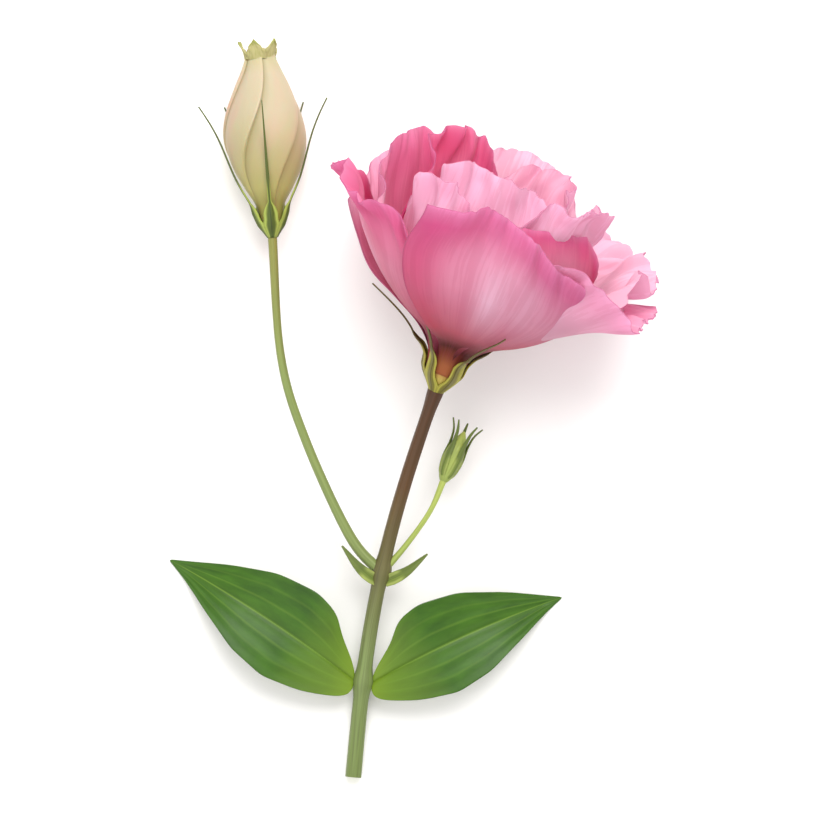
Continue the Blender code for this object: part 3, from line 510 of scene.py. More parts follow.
def leaf_skin(name, green, light, vein, roughness):
    """A leaf's waxy skin, mottled and finely grained, with a pale midrib and a yellower foot."""
    material, tree, grain, u, v, mark, tone = new_material(name)
    # Patches about 4 mm wide
    mottle = streaks(tree, grain, mark, 7.0, 6.0, 6.0)
    picked = add(tree, "ValToRGB", {0: mottle}, [(0.3, 0.0), (0.7, 1.0)])
    body = add(tree, "Mix", {0: picked, 6: colour(green), 7: colour(light)}, data_type="RGBA")
    foot = add(tree, "ValToRGB", {0: v}, [(0.0, 0.8), (0.12, 0.4), (0.35, 0.0)])
    footed = add(tree, "Mix", {0: foot, 6: body, 7: colour("#7c9628")}, data_type="RGBA")
    # The midrib and two faint nerves on each side run from the foot to the tip
    nerves = [(0.15, 0.0), (0.17, 0.2), (0.19, 0.0), (0.31, 0.0), (0.33, 0.35), (0.35, 0.0), (0.475, 0.1)]
    ribs = add(tree, "ValToRGB", {0: u}, mirrored(nerves, 1.0))
    share = add(tree, "Math", {0: ribs, 1: 0.8}, operation="MULTIPLY")
    veined = add(tree, "Mix", {0: share, 6: footed, 7: colour(vein)}, data_type="RGBA")
    fine = streaks(tree, grain, mark, 60.0, 50.0)
    relief = add(tree, "Bump", {"Height": fine, "Strength": 0.15, "Distance": 0.15 * MM})
    finish(tree, veined, {"Roughness": roughness, "Specular IOR Level": 0.3, "Normal": relief}, 0.15)
    return material


def leaf_skins():
    """The upper side of a leaf is darker and waxier; the lower side is paler and dull."""
    return (
        leaf_skin("leaf_upper", "#2c500c", "#406a14", "#6f9030", 0.42),
        leaf_skin("leaf_lower", "#55702c", "#688040", "#8aa058", 0.6),
    )


# The bloom's petals
class Petal(NamedTuple):
    """One petal. bearing is where its middle points, seen down the axis, and 90 is towards the table.

    angles are how far it leans out from the axis at each share of its length in PROFILE. wave is how
    deep its waves are in mm, and phase is where they start. rest is how high it lies on the petals
    below it. margin is how far it reaches at even steps from edge to edge, curl lifts its left and
    right corners, and flare is how many degrees more its left and right edges lean out. over is
    how far out its edges lie, to pass over or under those beside it, and pale is how pale it is from
    edge to edge, from -1, which is deep, to 1. pale is partly the petal's own colour and partly
    painted light and shade: paler on petals that catch the light, deeper on those in the shade of
    pockets and folds.
    """

    bearing: float
    length: float
    width: float
    angles: tuple
    wave: float
    phase: float
    rest: float = 0.0
    margin: tuple = (0.74, 0.96, 1.0, 0.96, 0.74)
    curl: tuple = (0.0, 0.0)
    flare: tuple = (0.0, 0.0)
    over: tuple = (-2.2, 2.2)
    pale: tuple = (0.3, 0.3)


class Layer(NamedTuple):
    """Petals that grow from one ring, inset from the outermost, with columns of points across each."""

    inset: float
    columns: int
    petals: tuple


OUTER = (
    Petal(
        -74, 62, 57, (2, 14, 63, 45, 6, 4), 0.8, 0.3,
        margin=(1.03, 1.08, 0.99, 0.85, 0.79),
        curl=(1.5, 1),
        flare=(8, 0),
        over=(2.2, 2.2),
        pale=(0.0, 0.0),
    ),
    Petal(
        -24, 58, 56, (2, 14, 60, 55, 58, 74), 1.3, 1.0,
        margin=(0.75, 0.95, 0.96, 0.9, 0.92),
        flare=(-54, 0),
        pale=(0.5, 0.5),
    ),
    Petal(46, 60, 60, (2, 14, 64, 54, 46, 60), 1.8, 2.2, 0.1, pale=(0.8, 0.8)),
    Petal(
        119, 66, 56, (2, 13, 60, 50, 34, 40), 1.2, 3.9,
        margin=(0.8, 1.0, 0.98, 0.88, 0.7),
        over=(-2.2, 3.5),
        pale=(0.5, 0.5),
    ),
    Petal(
        196, 61, 57, (2, 14, 61, 46, 27, 60), 2.0, 5.1,
        margin=(0.70, 0.98, 1.0, 0.92, 0.70),
        curl=(3.0, 0),
        flare=(0, -6),
        over=(-2.2, -2.2),
        pale=(-0.4, -0.2),
    ),
)
MIDDLE = (
    # The petal in the pocket past the front petal's top: its deep pink is painted shade
    Petal(
        -48, 58, 46, (3, 14, 50, 42, 6, -46), 0.2, 2.0,
        margin=(0.84, 0.99, 1.0, 0.98, 0.80),
        pale=(-0.9, -0.9),
    ),
    Petal(14, 58, 54, (3, 14, 60, 50, 38, 60), 2.2, 3.0, 1.4, pale=(0.8, 0.8)),
    Petal(84, 62, 52, (3, 14, 52, 38, 14, 24), 1.4, 4.2, 1.4, pale=(0.9, 0.9)),
    Petal(
        156, 63, 48, (3, 14, 54, 42, 10, 20), 0.8, 5.6, 1.4,
        margin=(0.84, 1.0, 0.97, 0.84, 0.62),
        over=(-2.2, 0.2),
        pale=(-0.6, 0.0, 0.9),
    ),
    Petal(
        -112, 62, 42, (3, 14, 50, 36, 6, 4), 1.6, 0.4,
        margin=(0.84, 1.0, 0.98, 0.9, 0.74),
        pale=(0.8, 0.8),
    ),
)
INNER = (
    Petal(
        -96, 63, 46, (2, 8, 38, 24, 0, -4), 1.4, 1.1,
        margin=(0.86, 0.99, 1.0, 0.96, 0.84),
        pale=(0.9, 0.9),
    ),
    Petal(-34, 63, 46, (2, 8, 42, 30, 4, 16), 1.6, 2.4, 2.8, pale=(0.8, 0.8)),
    Petal(56, 59, 40, (2, 8, 40, 26, 2, 12), 1.6, 3.3, 2.8, pale=(0.7, 0.7)),
    # Deep over most of its width: painted shade in the fold at the back of the bloom
    Petal(142, 63, 38, (2, 8, 38, 24, -2, 8), 1.8, 4.8, 2.8, pale=(-0.2, -0.9, -0.9)),
)
LAYERS = {
    "outer": Layer(0.0, 121, OUTER),
    "middle": Layer(0.5, 105, MIDDLE),
    "inner": Layer(1.0, 97, INNER),
}


def petal_profile(petal, inset, across, shares):
    """Lines up a petal, one for each place across it: distance from the axis and height at each share."""
    middle = np.radians(np.interp(shares, PROFILE, petal.angles))
    left, right = np.radians(petal.flare)
    edges = left * smooth(0.0, 0.8, -across) + right * smooth(0.0, 0.8, across)
    step = petal.length * (shares[1] - shares[0])
    out, height = [], []
    for edge in edges:
        angles = softened(middle + edge * smooth(0.3, 0.8, shares), 15)[:-1]
        out.append(TUBE_RADIUS - inset + np.concatenate([[0.0], np.cumsum(np.sin(angles) * step)]))
        height.append(TUBE_FOOT + np.concatenate([[0.0], np.cumsum(np.cos(angles) * step)]))
    return out, height


def petal_waves(petal, u, v):
    """How far the waves of the margin and the curl of the corners lift a petal off its surface."""
    top = smooth(0.56, 1.0, v) ** 1.6
    side = smooth(0.55, 1.0, np.abs(u)) * smooth(0.35, 0.8, v)
    slant = 0.8 * (1.0 - v)
    broad = top * np.sin(math.pi * WAVES * (u + slant) + petal.phase)
    fine = 0.55 * top * v * np.sin(math.pi * WAVES * 2.3 * (u - slant) + 2.0 * petal.phase + 1.0)
    flank = 0.6 * side * np.sin(4.4 * math.pi * v + 3.0 * petal.phase + u)
    curl = petal.curl[0] * smooth(0.2, 1.0, -u) + petal.curl[1] * smooth(0.2, 1.0, u)
    return petal.wave * (broad + fine + flank) + smooth(0.5, 1.0, v) * curl


def petal_frills(petal, u, v, seed):
    """The crimped and rolled margin and the shallow pleats of the blade, which the solids leave out."""
    at = u * petal.width / 2.0 + NOISE_START
    wave = 0.2 + 0.75 * petal.wave
    flank = smooth(0.80, 1.0, np.abs(u)) * smooth(0.4, 0.8, v)
    crimped = np.maximum(smooth(0.72, 1.0, v) ** 1.6, 0.6 * flank)
    crimp = CRIMP_DEPTH * crimped * uneven(at / CRIMP_PITCH + 2.0 * v, seed)
    crinkled = np.maximum(smooth(0.84, 1.0, v) ** 1.5, 0.6 * flank)
    crinkle = CRINKLE_DEPTH * crinkled * uneven(at / CRINKLE_PITCH + 5.0 * v, seed + 1)
    lip = LIP_DEPTH * smooth(0.9, 1.0, v) ** 2 * (0.4 + uneven(at / LIP_PITCH, seed + 4))
    pleat = PLEAT_DEPTH * smooth(0.15, 0.5, v) * uneven(at / PLEAT_PITCH + 0.6 * v, seed + 2)
    return wave * (crimp + crinkle + lip) + pleat


def petal_surface(petal, inset, columns, seed):
    """The middle surface of a petal: a fan that opens from the tube, turned like a pinwheel's blade."""
    rows = 1.0 - (1.0 - np.linspace(0.0, 1.0, columns - ROWS_FEWER)) ** 1.5
    u, v = np.meshgrid(np.linspace(-1.0, 1.0, columns), 0.03 + 0.97 * rows)
    shares = np.linspace(0.0, LONGEST, 200)
    out, up = petal_profile(petal, inset, u[0], shares)
    teeth = uneven((u * petal.width / 2.0 + NOISE_START) / TOOTH_PITCH, seed + 3) * petal.wave * TOOTH_DEPTH
    along = v * (eased(u, petal.margin) + teeth / petal.length * smooth(0.9, 1.0, v))
    radius = np.stack([np.interp(along[:, k], shares, out[k]) for k in range(columns)], axis=1)
    height = np.stack([np.interp(along[:, k], shares, up[k]) for k in range(columns)], axis=1)
    widening = CLAW_WIDTH + (1.0 - CLAW_WIDTH) * smooth(0.03, 0.85, v)
    widening = widening * (1.0 - 0.10 * smooth(0.72, 1.0, v))
    turn = petal.width / 2.0 * widening / np.maximum(radius, 2.0)
    turn = u * np.clip(turn, CLAW_TURN * (1.0 - smooth(0.1, 0.4, v)), 2.2)
    over = petal.over[0] * np.clip(-u, 0.0, 1.0) ** 1.5 + petal.over[1] * np.clip(u, 0.0, 1.0) ** 1.5
    radius = radius + over * smooth(0.04, 0.40, v)
    points = round_axis(radius, math.radians(petal.bearing) + turn, height)
    normal = unit(np.cross(np.gradient(points, axis=1), np.gradient(points, axis=0)))
    lift = petal_waves(petal, u, v) + petal_frills(petal, u, v, seed)
    return points + normal * lift[..., None]


def make_petals():
    skins = petal_skins()
    count = 0
    for name, layer in LAYERS.items():
        for number, petal in enumerate(layer.petals):
            middle = bloom_placed(petal_surface(petal, layer.inset, layer.columns, 17 * count + 5))
            middle = pressed(middle, PETAL_THICKNESS / 2.0 + petal.rest)
            pale = eased(np.linspace(-1.0, 1.0, layer.columns), petal.pale)
            surface = Surface(middle, mark=3.7 * count, tone=pale)
            piece(f"petal_{name}_{number}", [surface], skins, "corolla", PETAL_THICKNESS)
            count += 1


def make_tube():
    """The short brownish tube that the petals grow from, seen between the sepals."""
    outside = ((1.6, -0.8), (2.5, 0.5), (3.6, 2.2), (4.3, 4.4), (4.7, 6.5), (5.0, 9.0))
    inside = ((4.9, 9.2), (4.4, 9.2), (3.9, 6.0))
    tube = turned(refined((*outside, *inside), 40), 96, bloom_placed)
    piece("petal_tube", [tube], [plain_skin("petal_tube_tan")], "corolla")


def tree_of(node):
    """A search tree over a solid of the part, in millimetres, to keep other pieces clear of it."""
    corners = [node.matrix_world @ vertex.co / MM for vertex in node.data.vertices]
    return BVHTree.FromPolygons(corners, [list(face.vertices) for face in node.data.polygons])


def kept_clear(path, tree, distance):
    """Moves the points of a path straight away from a solid until they clear it."""
    result = np.array(path, float)
    for _ in range(12):
        for k, point in enumerate(result):
            nearest, _, _, near = tree.find_nearest(Vector(point))
            if near < distance:
                away = unit(point - np.array(nearest))
                result[k] = point + away * (distance - near + 0.05)
        result[1:-1] = 0.5 * result[1:-1] + 0.25 * (result[:-2] + result[2:])
    return result


# The calyxes
class Calyx(NamedTuple):
    """A cup of five sepals joined side by side, which run on along (distance from the axis, height)
    points as long awls. lifts are how much higher the tip of each awl reaches, and clearance is how
    far they stay from the petals.
    """

    scale: float
    bearings: tuple
    lifts: tuple
    clearance: float
    awl_width: float
    path: tuple


BLOOM_CALYX = Calyx(
    1.0,
    (-60.0, -118.0, 178.0, 108.0, 26.0),
    (5.2, 6.0, 1.0, 0.0, 0.0),
    0.95,
    1.0,
    ((5.0, 2.2), (5.2, 4.6), (5.7, 7.2), (7.2, 9.8), (9.2, 12.2), (12.6, 14.2), (17.5, 15.8), (23.5, 18.4)),
)
BUD_CALYX = Calyx(
    BUD_SCALE,
    (-90.0, -18.0, 54.0, 126.0, 198.0),
    (0.0, 0.0, 0.0, 0.0, 0.0),
    0.85,
    0.9,
    (
        (4.0, 1.8), (4.15, 3.4), (4.6, 6.2), (7.0, 11.2), (9.7, 16.5),
        (11.1, 21.5), (12.2, 26.5), (14.4, 31.6), (16.8, 32.6),
    ),
)
CUP_SIDE = ((1.7, -1.2), (2.5, 0.0), (3.5, 1.5), (4.4, 3.0))
AWL_POINTS = 12
SEPAL_THICKNESS = 0.34
SEPAL_JOIN = 1.06
# The notch between two sepals whose middles are less than twice NEAR degrees apart is wider: there a
# sepal is narrower by this share, which starts and ends at these heights, as shares of the cup's.
NOTCH = 0.6
NOTCH_AT = (0.1, 0.55)
NEAR = 30.0
# Heights as shares of the cup's, and how much of the room to its neighbours a sepal fills there
SHOULDER_AT = (0.0, 0.5, 0.75, 1.1, 1.4, 1.8)
SHOULDER = (1.0, 1.0, 0.72, 0.62, 0.4, 0.0)


def sepal(calyx, number, placed, tree):
    """The middle surface of one sepal, with its share of the cup and its awl."""
    bearing = calyx.bearings[number]
    side = direction(bearing)
    tip = calyx.path[-1][0]
    lift = [calyx.lifts[number] * smooth(0.3, 1.0, out / tip) for out, _ in calyx.path]
    line = [side * out + UP * (height + more) for (out, height), more in zip(calyx.path, lift)]
    line = curve_through(line, AWL_POINTS)
    free = smooth(0.22, 0.36, np.linspace(0.0, 1.0, AWL_POINTS))[:, None]
    line = placed(line)
    line = line * (1.0 - free) + kept_clear(line, tree, calyx.clearance) * free
    line[:, 2] = np.maximum(line[:, 2], 0.6)
    low = placed(np.array([(side * out + UP * height) * calyx.scale for out, height in CUP_SIDE]))
    line = curve_through([*low, *line[1:]], 90)

    foot, ahead, across, outward = placed(np.array([UP * 0.0, UP, direction(bearing + 90.0), side]))
    ahead, across, outward = ahead - foot, across - foot, outward - foot
    height = (line - foot) @ ahead / (CUP_TOP * calyx.scale)
    reach = np.linalg.norm(line - foot - ((line - foot) @ ahead)[:, None] * ahead, axis=1)
    share = np.linspace(0.0, 1.0, len(line))
    awl = calyx.awl_width / 2.0 * np.interp(share, (0.0, 0.4, 1.0), (1.0, 0.85, 0.2))
    others = np.array([other for k, other in enumerate(calyx.bearings) if k != number])
    turns = np.mod(others - bearing + 180.0, 360.0) - 180.0
    room = [-turns[turns < 0.0].max() / 2.0, turns[turns > 0.0].min() / 2.0]
    filled = np.interp(height, SHOULDER_AT, SHOULDER)
    in_cup = 1.0 - smooth(0.9, 1.6, height)
    bend = np.maximum(reach, 1.0) * in_cup + 1.1 * calyx.awl_width * (1.0 - in_cup)
    u = np.linspace(-1.0, 1.0, 33)
    points = []
    for k, middle in enumerate(line):
        widths = []
        for half in room:
            narrowed = 1.0 - NOTCH * smooth(*NOTCH_AT, height[k]) * (half < NEAR)
            widths.append(math.radians(half) * SEPAL_JOIN * reach[k] * filled[k] * narrowed)
        half = np.where(u < 0.0, max(widths[0], awl[k]), max(widths[1], awl[k]))
        turn = u * half / bend[k]
        keel = 0.45 * calyx.scale * in_cup[k] * smooth(0.0, 0.5, height[k]) * np.exp(-((u * half / 0.7) ** 2))
        frill = 0.16 * filled[k] * smooth(0.85, 1.2, height[k]) * np.sin(9.0 * u + 2.0 * number)
        out = bend[k] * (np.cos(turn) - 1.0) + keel + frill
        points.append(middle + across * (bend[k] * np.sin(turn))[:, None] + outward * out[:, None])
    return Surface(np.array(points), mark=2.3 * number)


def make_calyx(name, calyx, placed, petals, skin):
    tree = tree_of(petals)
    sepals = [sepal(calyx, number, placed, tree) for number in range(5)]
    piece(name + "_sepals", sepals, [sepal_skin(skin)], name, SEPAL_THICKNESS)


# The closed bud: five petals rolled round each other, which show as five slanting seams. Its outline
# is (distance from the axis, height) points, in millimetres.
BUD_PROFILE = (
    (2.2, 1.6), (2.9, 2.0), (3.15, 4.5), (3.7, 7.5), (6.0, 11.5), (8.6, 16.5), (10.0, 21.5), (10.1, 26.0),
    (9.0, 31.0), (7.0, 36.0), (4.9, 40.5), (3.85, 43.2), (3.4, 44.6), (2.4, 45.2), (0.04, 45.0),
)
BUD_ROWS = 150
# Columns of points for each of the five petals
BUD_COLUMNS = 50
BUD_SEAM_DEPTH = 0.6
# How many degrees the seams turn, and between which heights
BUD_TWIST = 64.0
TWIST_OVER = (5.0, 44.0)
# The closed top steps up to each seam by this much, between these heights
TOP_STEP = 1.3
TOP_OVER = (44.2, 45.2)
TIP_FOOT = 43.5
TIP_LENGTH = 4.8
TIP_WIDTH = 2.8
TIP_OUT = 3.75


def refined(profile, count):
    """count points along a smooth curve through (radius, height) points."""
    return curve_through([(radius, height, 0.0) for radius, height in profile], count)[:, :2]


def make_bud():
    """The columns follow the twist of the seams, and each petal stands proud where it ends at a seam."""
    radius, height = refined(BUD_PROFILE, BUD_ROWS).T
    turn, height = np.meshgrid(np.linspace(0.0, 2.0 * math.pi, 5 * BUD_COLUMNS, endpoint=False), height)
    bearing = turn + np.radians(BUD_TWIST) * smooth(*TWIST_OVER, height)
    share = np.broadcast_to(np.arange(5 * BUD_COLUMNS) % BUD_COLUMNS / BUD_COLUMNS, bearing.shape)
    proud = share**1.5 - 0.6 - 0.3 * smooth(0.93, 1.0, share)
    grown = np.minimum(1.0, radius / 5.0)[:, None] * smooth(6.0, 14.0, height)
    folds = 0.22 * uneven(share * 3.0 + height * 0.09, 61) * grown
    radius = radius[:, None] + BUD_SEAM_DEPTH * grown * proud + folds
    points = round_axis(radius, bearing, height)
    points[..., 2] += TOP_STEP * share * smooth(*TOP_OVER, height) * np.minimum(1.0, np.abs(radius) / 2.0)
    body = Surface(pressed(bud_placed(points), 0.0), True, tone=share)
    piece("bud_body", [body], [bud_skin()], "bud_corolla")

    # The mouth: five pointed tips that lean out a little, with crimped edges
    tips = []
    for number in range(5):
        u, v = np.meshgrid(np.linspace(-1.0, 1.0, 31), np.linspace(0.0, 1.0, 41))
        wide = TIP_WIDTH * (1.0 - v**1.5) ** 0.8 + 0.04
        crimp = smooth(0.3, 1.0, np.maximum(v, np.abs(u)))
        ruffle = 0.35 * crimp * uneven(5.0 * v + 3.0 * u + 9.0, 71 + number)
        out = TIP_OUT + 1.1 * v**1.6 - 0.2 * (number % 2) + ruffle
        at = math.radians(72.0 * number - 105.0) + u * wide / 3.7
        jag = 0.25 * crimp * uneven(6.0 * u + 9.0, 81 + number)
        high = TIP_FOOT + TIP_LENGTH * v - 0.6 * np.abs(u) * v + jag
        tips.append(Surface(bud_placed(round_axis(out, at, high)), mark=0.5))
    piece("bud_tips", tips, [plain_skin("bud_tip_lime")], "bud_corolla", 0.3)


# Stamens and pistil, deep in the bloom, as (distance from its axis, height) points
FILAMENT = ((2.0, 2.6), (2.0, 10.0), (2.6, 14.5), (4.4, 20.0))
ANTHER = ((3.6, 18.6), (3.9, 19.4), (4.5, 21.4), (5.1, 23.4), (5.3, 24.2))
ANTHER_WIDTHS = (0.4, 1.5, 1.9, 1.5, 0.4)
OVARY = ((0.7, 4.3), (1.15, 4.8), (1.25, 7.0), (1.2, 11.0))
STYLE = (*OVARY, (0.8, 13.5), (0.55, 16.0), (0.55, 22.0), (0.3, 22.8))
STIGMA_LOBE = ((0.2, 22.0), (0.9, 22.6), (1.7, 23.3), (2.2, 24.0))


def beside_axis(profile, bearing):
    """(distance from the axis, height) points at one bearing round the bloom's axis, laid down."""
    return bloom_placed(np.array([direction(bearing) * out + UP * height for out, height in profile]))


def make_stamens_and_pistil():
    filaments, anthers = [], []
    for number in range(5):
        bearing = 20.0 + 72.0 * number
        filaments += stalk(curve_through(beside_axis(FILAMENT, bearing), 30), 0.75, 12)
        line = curve_through(beside_axis(ANTHER, bearing), 30)
        # Two pollen sacs lie side by side
        aside = unit(np.cross(line[-1] - line[0], bloom_placed(direction(bearing)) - bloom_placed(UP * 0.0)))
        for way in (-0.42, 0.42):
            anthers += stalk(line + aside * way, spread(ANTHER_WIDTHS, 30) * 0.62, 14)
    piece("filaments", filaments, [plain_skin("filament_pale_green")], "stamens")
    piece("anthers", anthers, [plain_skin("pollen_orange")], "stamens")
    lobes = []
    for bearing in (0.0, 180.0):
        line = curve_through(beside_axis(STIGMA_LOBE, bearing), 20)
        lobes += stalk(line, spread((1.0, 1.9, 2.0, 1.7, 0.6), 20), 18)
    style = turned(refined(STYLE, 60), 32, bloom_placed)
    piece("style_and_stigma", [style, *lobes], [plain_skin("stigma_green")], "pistil")


# The stem, from the bloom down to the cut. Steps are from the fork, along x, y and z.
BUD_STALK_START = ((0.6, -1.0, 0.0), (-8.0, 9.0, 0.2))
BUD_STALK_BOW = (-5.5, 4.0, 0.0)
BUD_STALK_WIDTHS = (2.9, 2.4, 2.2, 2.0, 2.3)
BUD_STALK_END = 30.0
YOUNG_STALK = ((-0.5, -1.0, 0.0), (6.0, 6.5, 1.6), (12.0, 15.0, 2.4), (15.5, 23.0, 2.2))
YOUNG_STALK_WIDTHS = (2.0, 1.5, 1.3, 1.3, 1.7)
YOUNG_BUD = ((-0.6, 1.9), (0.6, 3.2), (2.6, 4.3), (5.5, 5.0), (8.5, 4.2), (11.0, 2.4), (12.8, 0.6))
YOUNG_SEPAL = ((0.0, 1.0), (1.6, 2.1), (3.6, 2.6), (6.0, 2.8), (9.5, 2.6), (12.5, 3.0), (15.0, 4.2))
YOUNG_SEPAL_WIDTHS = (1.2, 1.9, 1.9, 1.6, 1.0, 0.7, 0.3)
BRACTS = ((-9.0, 9.0, 2.5), (10.5, 7.0, 3.0))
BRACT_ROOT = (0.9, -2.6)
BRACT_WIDTHS = (2.4, 3.0, 2.8, 2.2, 1.6, 1.0, 0.3)


def stem_point(distance):
    """The middle of the stem, distance along the table from the foot of the bloom."""
    steps = np.linspace(0.0, distance, 60)
    lean = np.radians(BLOOM_LEAN + (CUT_LEAN - BLOOM_LEAN) * smooth(0.0, STEM_LENGTH, steps))
    x = BLOOM_FOOT[0] - distance * np.sin(lean).mean()
    y = BLOOM_FOOT[1] - distance * np.cos(lean).mean()
    fall = BLOOM_FOOT[2] - STEM_CUT_RADIUS
    power = math.tan(math.radians(BLOOM_RISE)) * STEM_LENGTH / fall
    return np.array([x, y, STEM_CUT_RADIUS + fall * (1.0 - distance / STEM_LENGTH) ** power])


def blade_along(line, widths, outward, fold, mark):
    """A narrow blade along a line, folded along its middle like a keel."""
    outward, across = sideways(line, outward)
    widths = widths[:, None, None]
    u = np.linspace(-1.0, 1.0, 17)[None, :, None]
    hollow = fold * widths * (np.sqrt(u * u + 0.02) - 0.14)
    points = line[:, None] + across[:, None] * u * widths / 2.0 - outward[:, None] * hollow
    return Surface(points, mark=mark)


def make_stem():
    distances = np.linspace(0.9, STEM_LENGTH, 260)
    path = np.array([stem_point(distance) for distance in distances])
    radius = STEM_TOP_RADIUS + (STEM_CUT_RADIUS - STEM_TOP_RADIUS) * distances / STEM_LENGTH
    for node in (FORK_AT, LEAVES_AT):
        radius = radius + NODE_SWELLING * np.exp(-(((distances - node) / NODE_REACH) ** 2))
    radius = radius + FOOT_SWELLING * np.exp(-((distances / FOOT_REACH) ** 2))
    main = stalk(path[::-1], 2.0 * radius[::-1], ribs=0.02)
    piece("main_stem", main, [plain_skin("stem_green_to_brown")], "stem")
    # The fresh cut, pale and a little ragged
    ahead = unit(path[-1] - path[-2])
    cut = stalk([path[-1] + ahead * 0.03, path[-1] + ahead * 0.05], 2.0 * radius[-1] * 0.985)
    piece("cut_end", cut, [plain_skin("cut_pith")], "stem")

    fork = stem_point(FORK_AT)
    foot, below = bud_placed(np.array([[0.0, 0.0, 0.4], [0.0, 0.0, -BUD_STALK_END]]))
    bow = 0.45 * fork + 0.55 * below + BUD_STALK_BOW
    line = curve_through([*(fork + np.array(BUD_STALK_START)), bow, below, foot], 200)
    branch = stalk(line, spread(BUD_STALK_WIDTHS, 200), 24, 0.015)
    piece("bud_stalk", branch, [plain_skin("branch_green")], "stem")

    line = curve_through(fork + np.array(YOUNG_STALK), 80)
    young = stalk(line, spread(YOUNG_STALK_WIDTHS, 80), 20, 0.015)
    foot = line[-1]
    ahead = unit(line[-1] - line[-2])
    body = curve_through([(distance, width, 0.0) for distance, width in YOUNG_BUD], 60)
    bud = stalk(foot + body[:, :1] * ahead, body[:, 1], 40, 0.03)
    aside = unit(np.cross(UP, ahead))
    sepals = []
    for number in range(5):
        turn = math.radians(72.0 * number + 54.0)
        out = aside * math.cos(turn) + UP * math.sin(turn)
        line = curve_through([foot + ahead * along + out * away for along, away in YOUNG_SEPAL], 50)
        sepals.append(blade_along(line, spread(YOUNG_SEPAL_WIDTHS, 50), out, 0.25, 1.7 * number))
    green = plain_skin("young_bud_green")
    piece("young_stalk", young, [green], "stem")
    piece("young_bud", bud, [green], "stem")
    sepal_green = sepal_skin("young_sepal_green")
    piece("young_sepals", sepals, [sepal_green], "stem", 0.3)

    bracts = []
    for reach in BRACTS:
        root = fork + (BRACT_ROOT[0] * math.copysign(1.0, reach[0]), BRACT_ROOT[1], 0.0)
        half_way = np.array(reach) * (0.5, 0.38, 0.9)
        line = curve_through([root, root + half_way, root + np.array(reach)], 60)
        bracts.append(blade_along(line, spread(BRACT_WIDTHS, 60), UP, -0.22, reach[0]))
    piece("bracts", bracts, [sepal_green], "stem", 0.35)


class Leaf(NamedTuple):
    """A leaf at the lower node: side is -1 on the left, and heading is clockwise from +Y."""

    side: float
    heading: float
    length: float
    width: float
    arch: float
    bend: float


LEAVES = {
    "leaf_left": Leaf(-1.0, -52.0, 55.0, 25.0, 5.2, -10.0),
    "leaf_right": Leaf(1.0, 60.0, 52.0, 24.0, 6.0, 12.0),
}
LEAF_START = 2.3
# Shares of a leaf's length, and its width there as a share of the broadest
LEAF_AT = (0.0, 0.08, 0.2, 0.36, 0.55, 0.75, 0.9, 1.0)
LEAF_WIDTHS = (0.40, 0.56, 0.84, 1.0, 0.88, 0.52, 0.2, 0.03)


def leaf_height(leaf, node_height, half, u, v):
    """A leaf's foot lies along the stem, its blade arches and its tip rests on the table."""
    rise = node_height * (1.0 - v) ** 1.3 + leaf.arch * np.sin(math.pi * v**0.9) - 1.6 * smooth(0.6, 1.0, v)
    fold = 0.16 * half * np.abs(u) * (1.0 - smooth(0.6, 1.0, v))
    wavy = smooth(0.1, 0.4, v) * (1.0 - smooth(0.8, 1.0, v))
    wave = 0.5 * np.abs(u) * np.sin(7.0 * v + 1.3 * leaf.side + 1.5 * u) * wavy
    across = u * half
    groove = -0.4 * np.exp(-((across / 0.55) ** 2)) * (1.0 - 0.7 * v)
    quilt = 0.05 * np.cos(6.0 * math.pi * np.abs(u)) * smooth(0.1, 0.3, v) * (1.0 - smooth(0.8, 1.0, v))
    return LEAF_THICKNESS / 2.0 + 0.3 * (1.0 - v) + rise + fold + wave + groove + quilt


def leaf_surface(leaf):
    """The middle surface of a stalkless oval leaf, as a grid of points on the table."""
    u, v = np.meshgrid(np.linspace(-1.0, 1.0, 97), np.linspace(0.0, 1.0, 140))
    node = stem_point(LEAVES_AT)
    grow = unit(stem_point(LEAVES_AT - 3.0) - stem_point(LEAVES_AT + 3.0))
    shares = np.linspace(0.0, 1.0, 120)
    heading = np.radians(leaf.heading + leaf.bend * shares)
    ahead = np.stack([np.sin(heading), np.cos(heading)], axis=-1)
    steps = ahead[:-1] * leaf.length / (len(shares) - 1)
    middle = np.concatenate([[[0.0, 0.0]], np.cumsum(steps, axis=0)])
    start = node[:2] + LEAF_START * leaf.side * np.array([grow[1], -grow[0]])
    widths = softened(leaf.width / 2.0 * np.interp(shares, LEAF_AT, LEAF_WIDTHS), 8)
    # The foot and the tip are rounded off
    half = np.interp(v, shares, widths) * np.sqrt((1.0 - (1.0 - v) ** 30) * (1.0 - v**40)) + 0.01
    foot = 1.0 - smooth(0.0, 0.3, v)
    way_x = np.interp(v, shares, np.cos(heading)) * (1.0 - foot) - foot * leaf.side * grow[0]
    way_y = np.interp(v, shares, -np.sin(heading)) * (1.0 - foot) - foot * leaf.side * grow[1]
    x = start[0] + np.interp(v, shares, middle[:, 0]) + way_x * half * u
    y = start[1] + np.interp(v, shares, middle[:, 1]) + way_y * half * u
    points = np.stack([x, y, leaf_height(leaf, node[2], half, u, v)], axis=-1)
    return pressed(points, LEAF_THICKNESS / 2.0)


def make_leaves():
    skins = leaf_skins()
    for name, leaf in LEAVES.items():
        surface = Surface(leaf_surface(leaf), mark=leaf.side)
        piece(name + "_blade", [surface], skins, name, LEAF_THICKNESS)


TABLE_REACH = 3.0
CAMERA_HEIGHT = 1.8
# How much of the table, in metres, the camera sees across
CAMERA_VIEW = 0.205


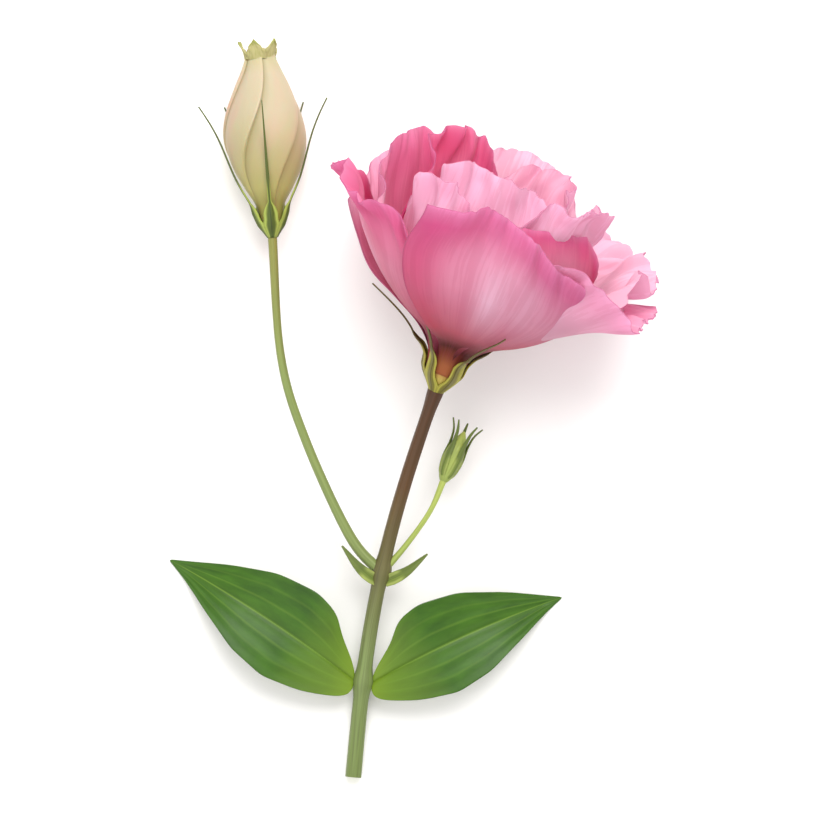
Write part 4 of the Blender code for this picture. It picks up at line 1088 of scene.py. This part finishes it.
def stage():
    """A plain pale table, a large soft light from above and a camera that looks straight down."""
    table = bpy.data.meshes.new("table")
    corners = [(TABLE_REACH * x, TABLE_REACH * y, 0.0) for x, y in ((-1, -1), (1, -1), (1, 1), (-1, 1))]
    table.from_pydata(corners, [], [(0, 1, 2, 3)])
    top = bpy.data.objects.new("table", table)
    bpy.context.scene.collection.objects.link(top)
    # A matt board, so that the shadows on it stay soft and nothing mirrors in it
    material = bpy.data.materials.new("matt_white_board")
    material.use_nodes = True
    shader = material.node_tree.nodes["Principled BSDF"]
    shader.inputs["Base Color"].default_value = colour("#f4f2f0")
    shader.inputs["Roughness"].default_value = 0.8
    shader.inputs["Specular IOR Level"].default_value = 0.2
    table.materials.append(material)

    world = bpy.data.worlds.new("studio")
    bpy.context.scene.world = world
    world.use_nodes = True
    background = world.node_tree.nodes["Background"]
    background.inputs[0].default_value = colour("#ffffff")
    background.inputs[1].default_value = 0.9
    for name, place, size, power in (
        ("key", (0.1, 0.55, 0.75), 0.7, 9.0),
        ("fill", (-0.4, -0.5, 0.8), 1.0, 3.0),
    ):
        light = bpy.data.lights.new(name, "AREA")
        light.size = size
        light.energy = power
        lamp = bpy.data.objects.new(name, light)
        bpy.context.scene.collection.objects.link(lamp)
        lamp.location = place
        lamp.rotation_euler = (-Vector(place)).to_track_quat("-Z", "Y").to_euler()

    lens = bpy.data.cameras.new("camera")
    camera = bpy.data.objects.new("camera", lens)
    bpy.context.scene.collection.objects.link(camera)
    lens.sensor_width = 36.0
    lens.lens = lens.sensor_width * CAMERA_HEIGHT / CAMERA_VIEW
    camera.location = (0.0, 0.0, CAMERA_HEIGHT)
    bpy.context.scene.camera = camera
    bpy.context.scene.view_settings.view_transform = "Standard"
    bpy.context.scene.view_settings.look = "None"


petals, bud_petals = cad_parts["corolla"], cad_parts["bud_corolla"]

stage()
make_petals()
make_tube()
make_calyx("calyx", BLOOM_CALYX, bloom_placed, petals, "sepal_olive")
make_stamens_and_pistil()
make_bud()
make_calyx("bud_calyx", BUD_CALYX, bud_placed, bud_petals, "sepal_green")
make_stem()
make_leaves()
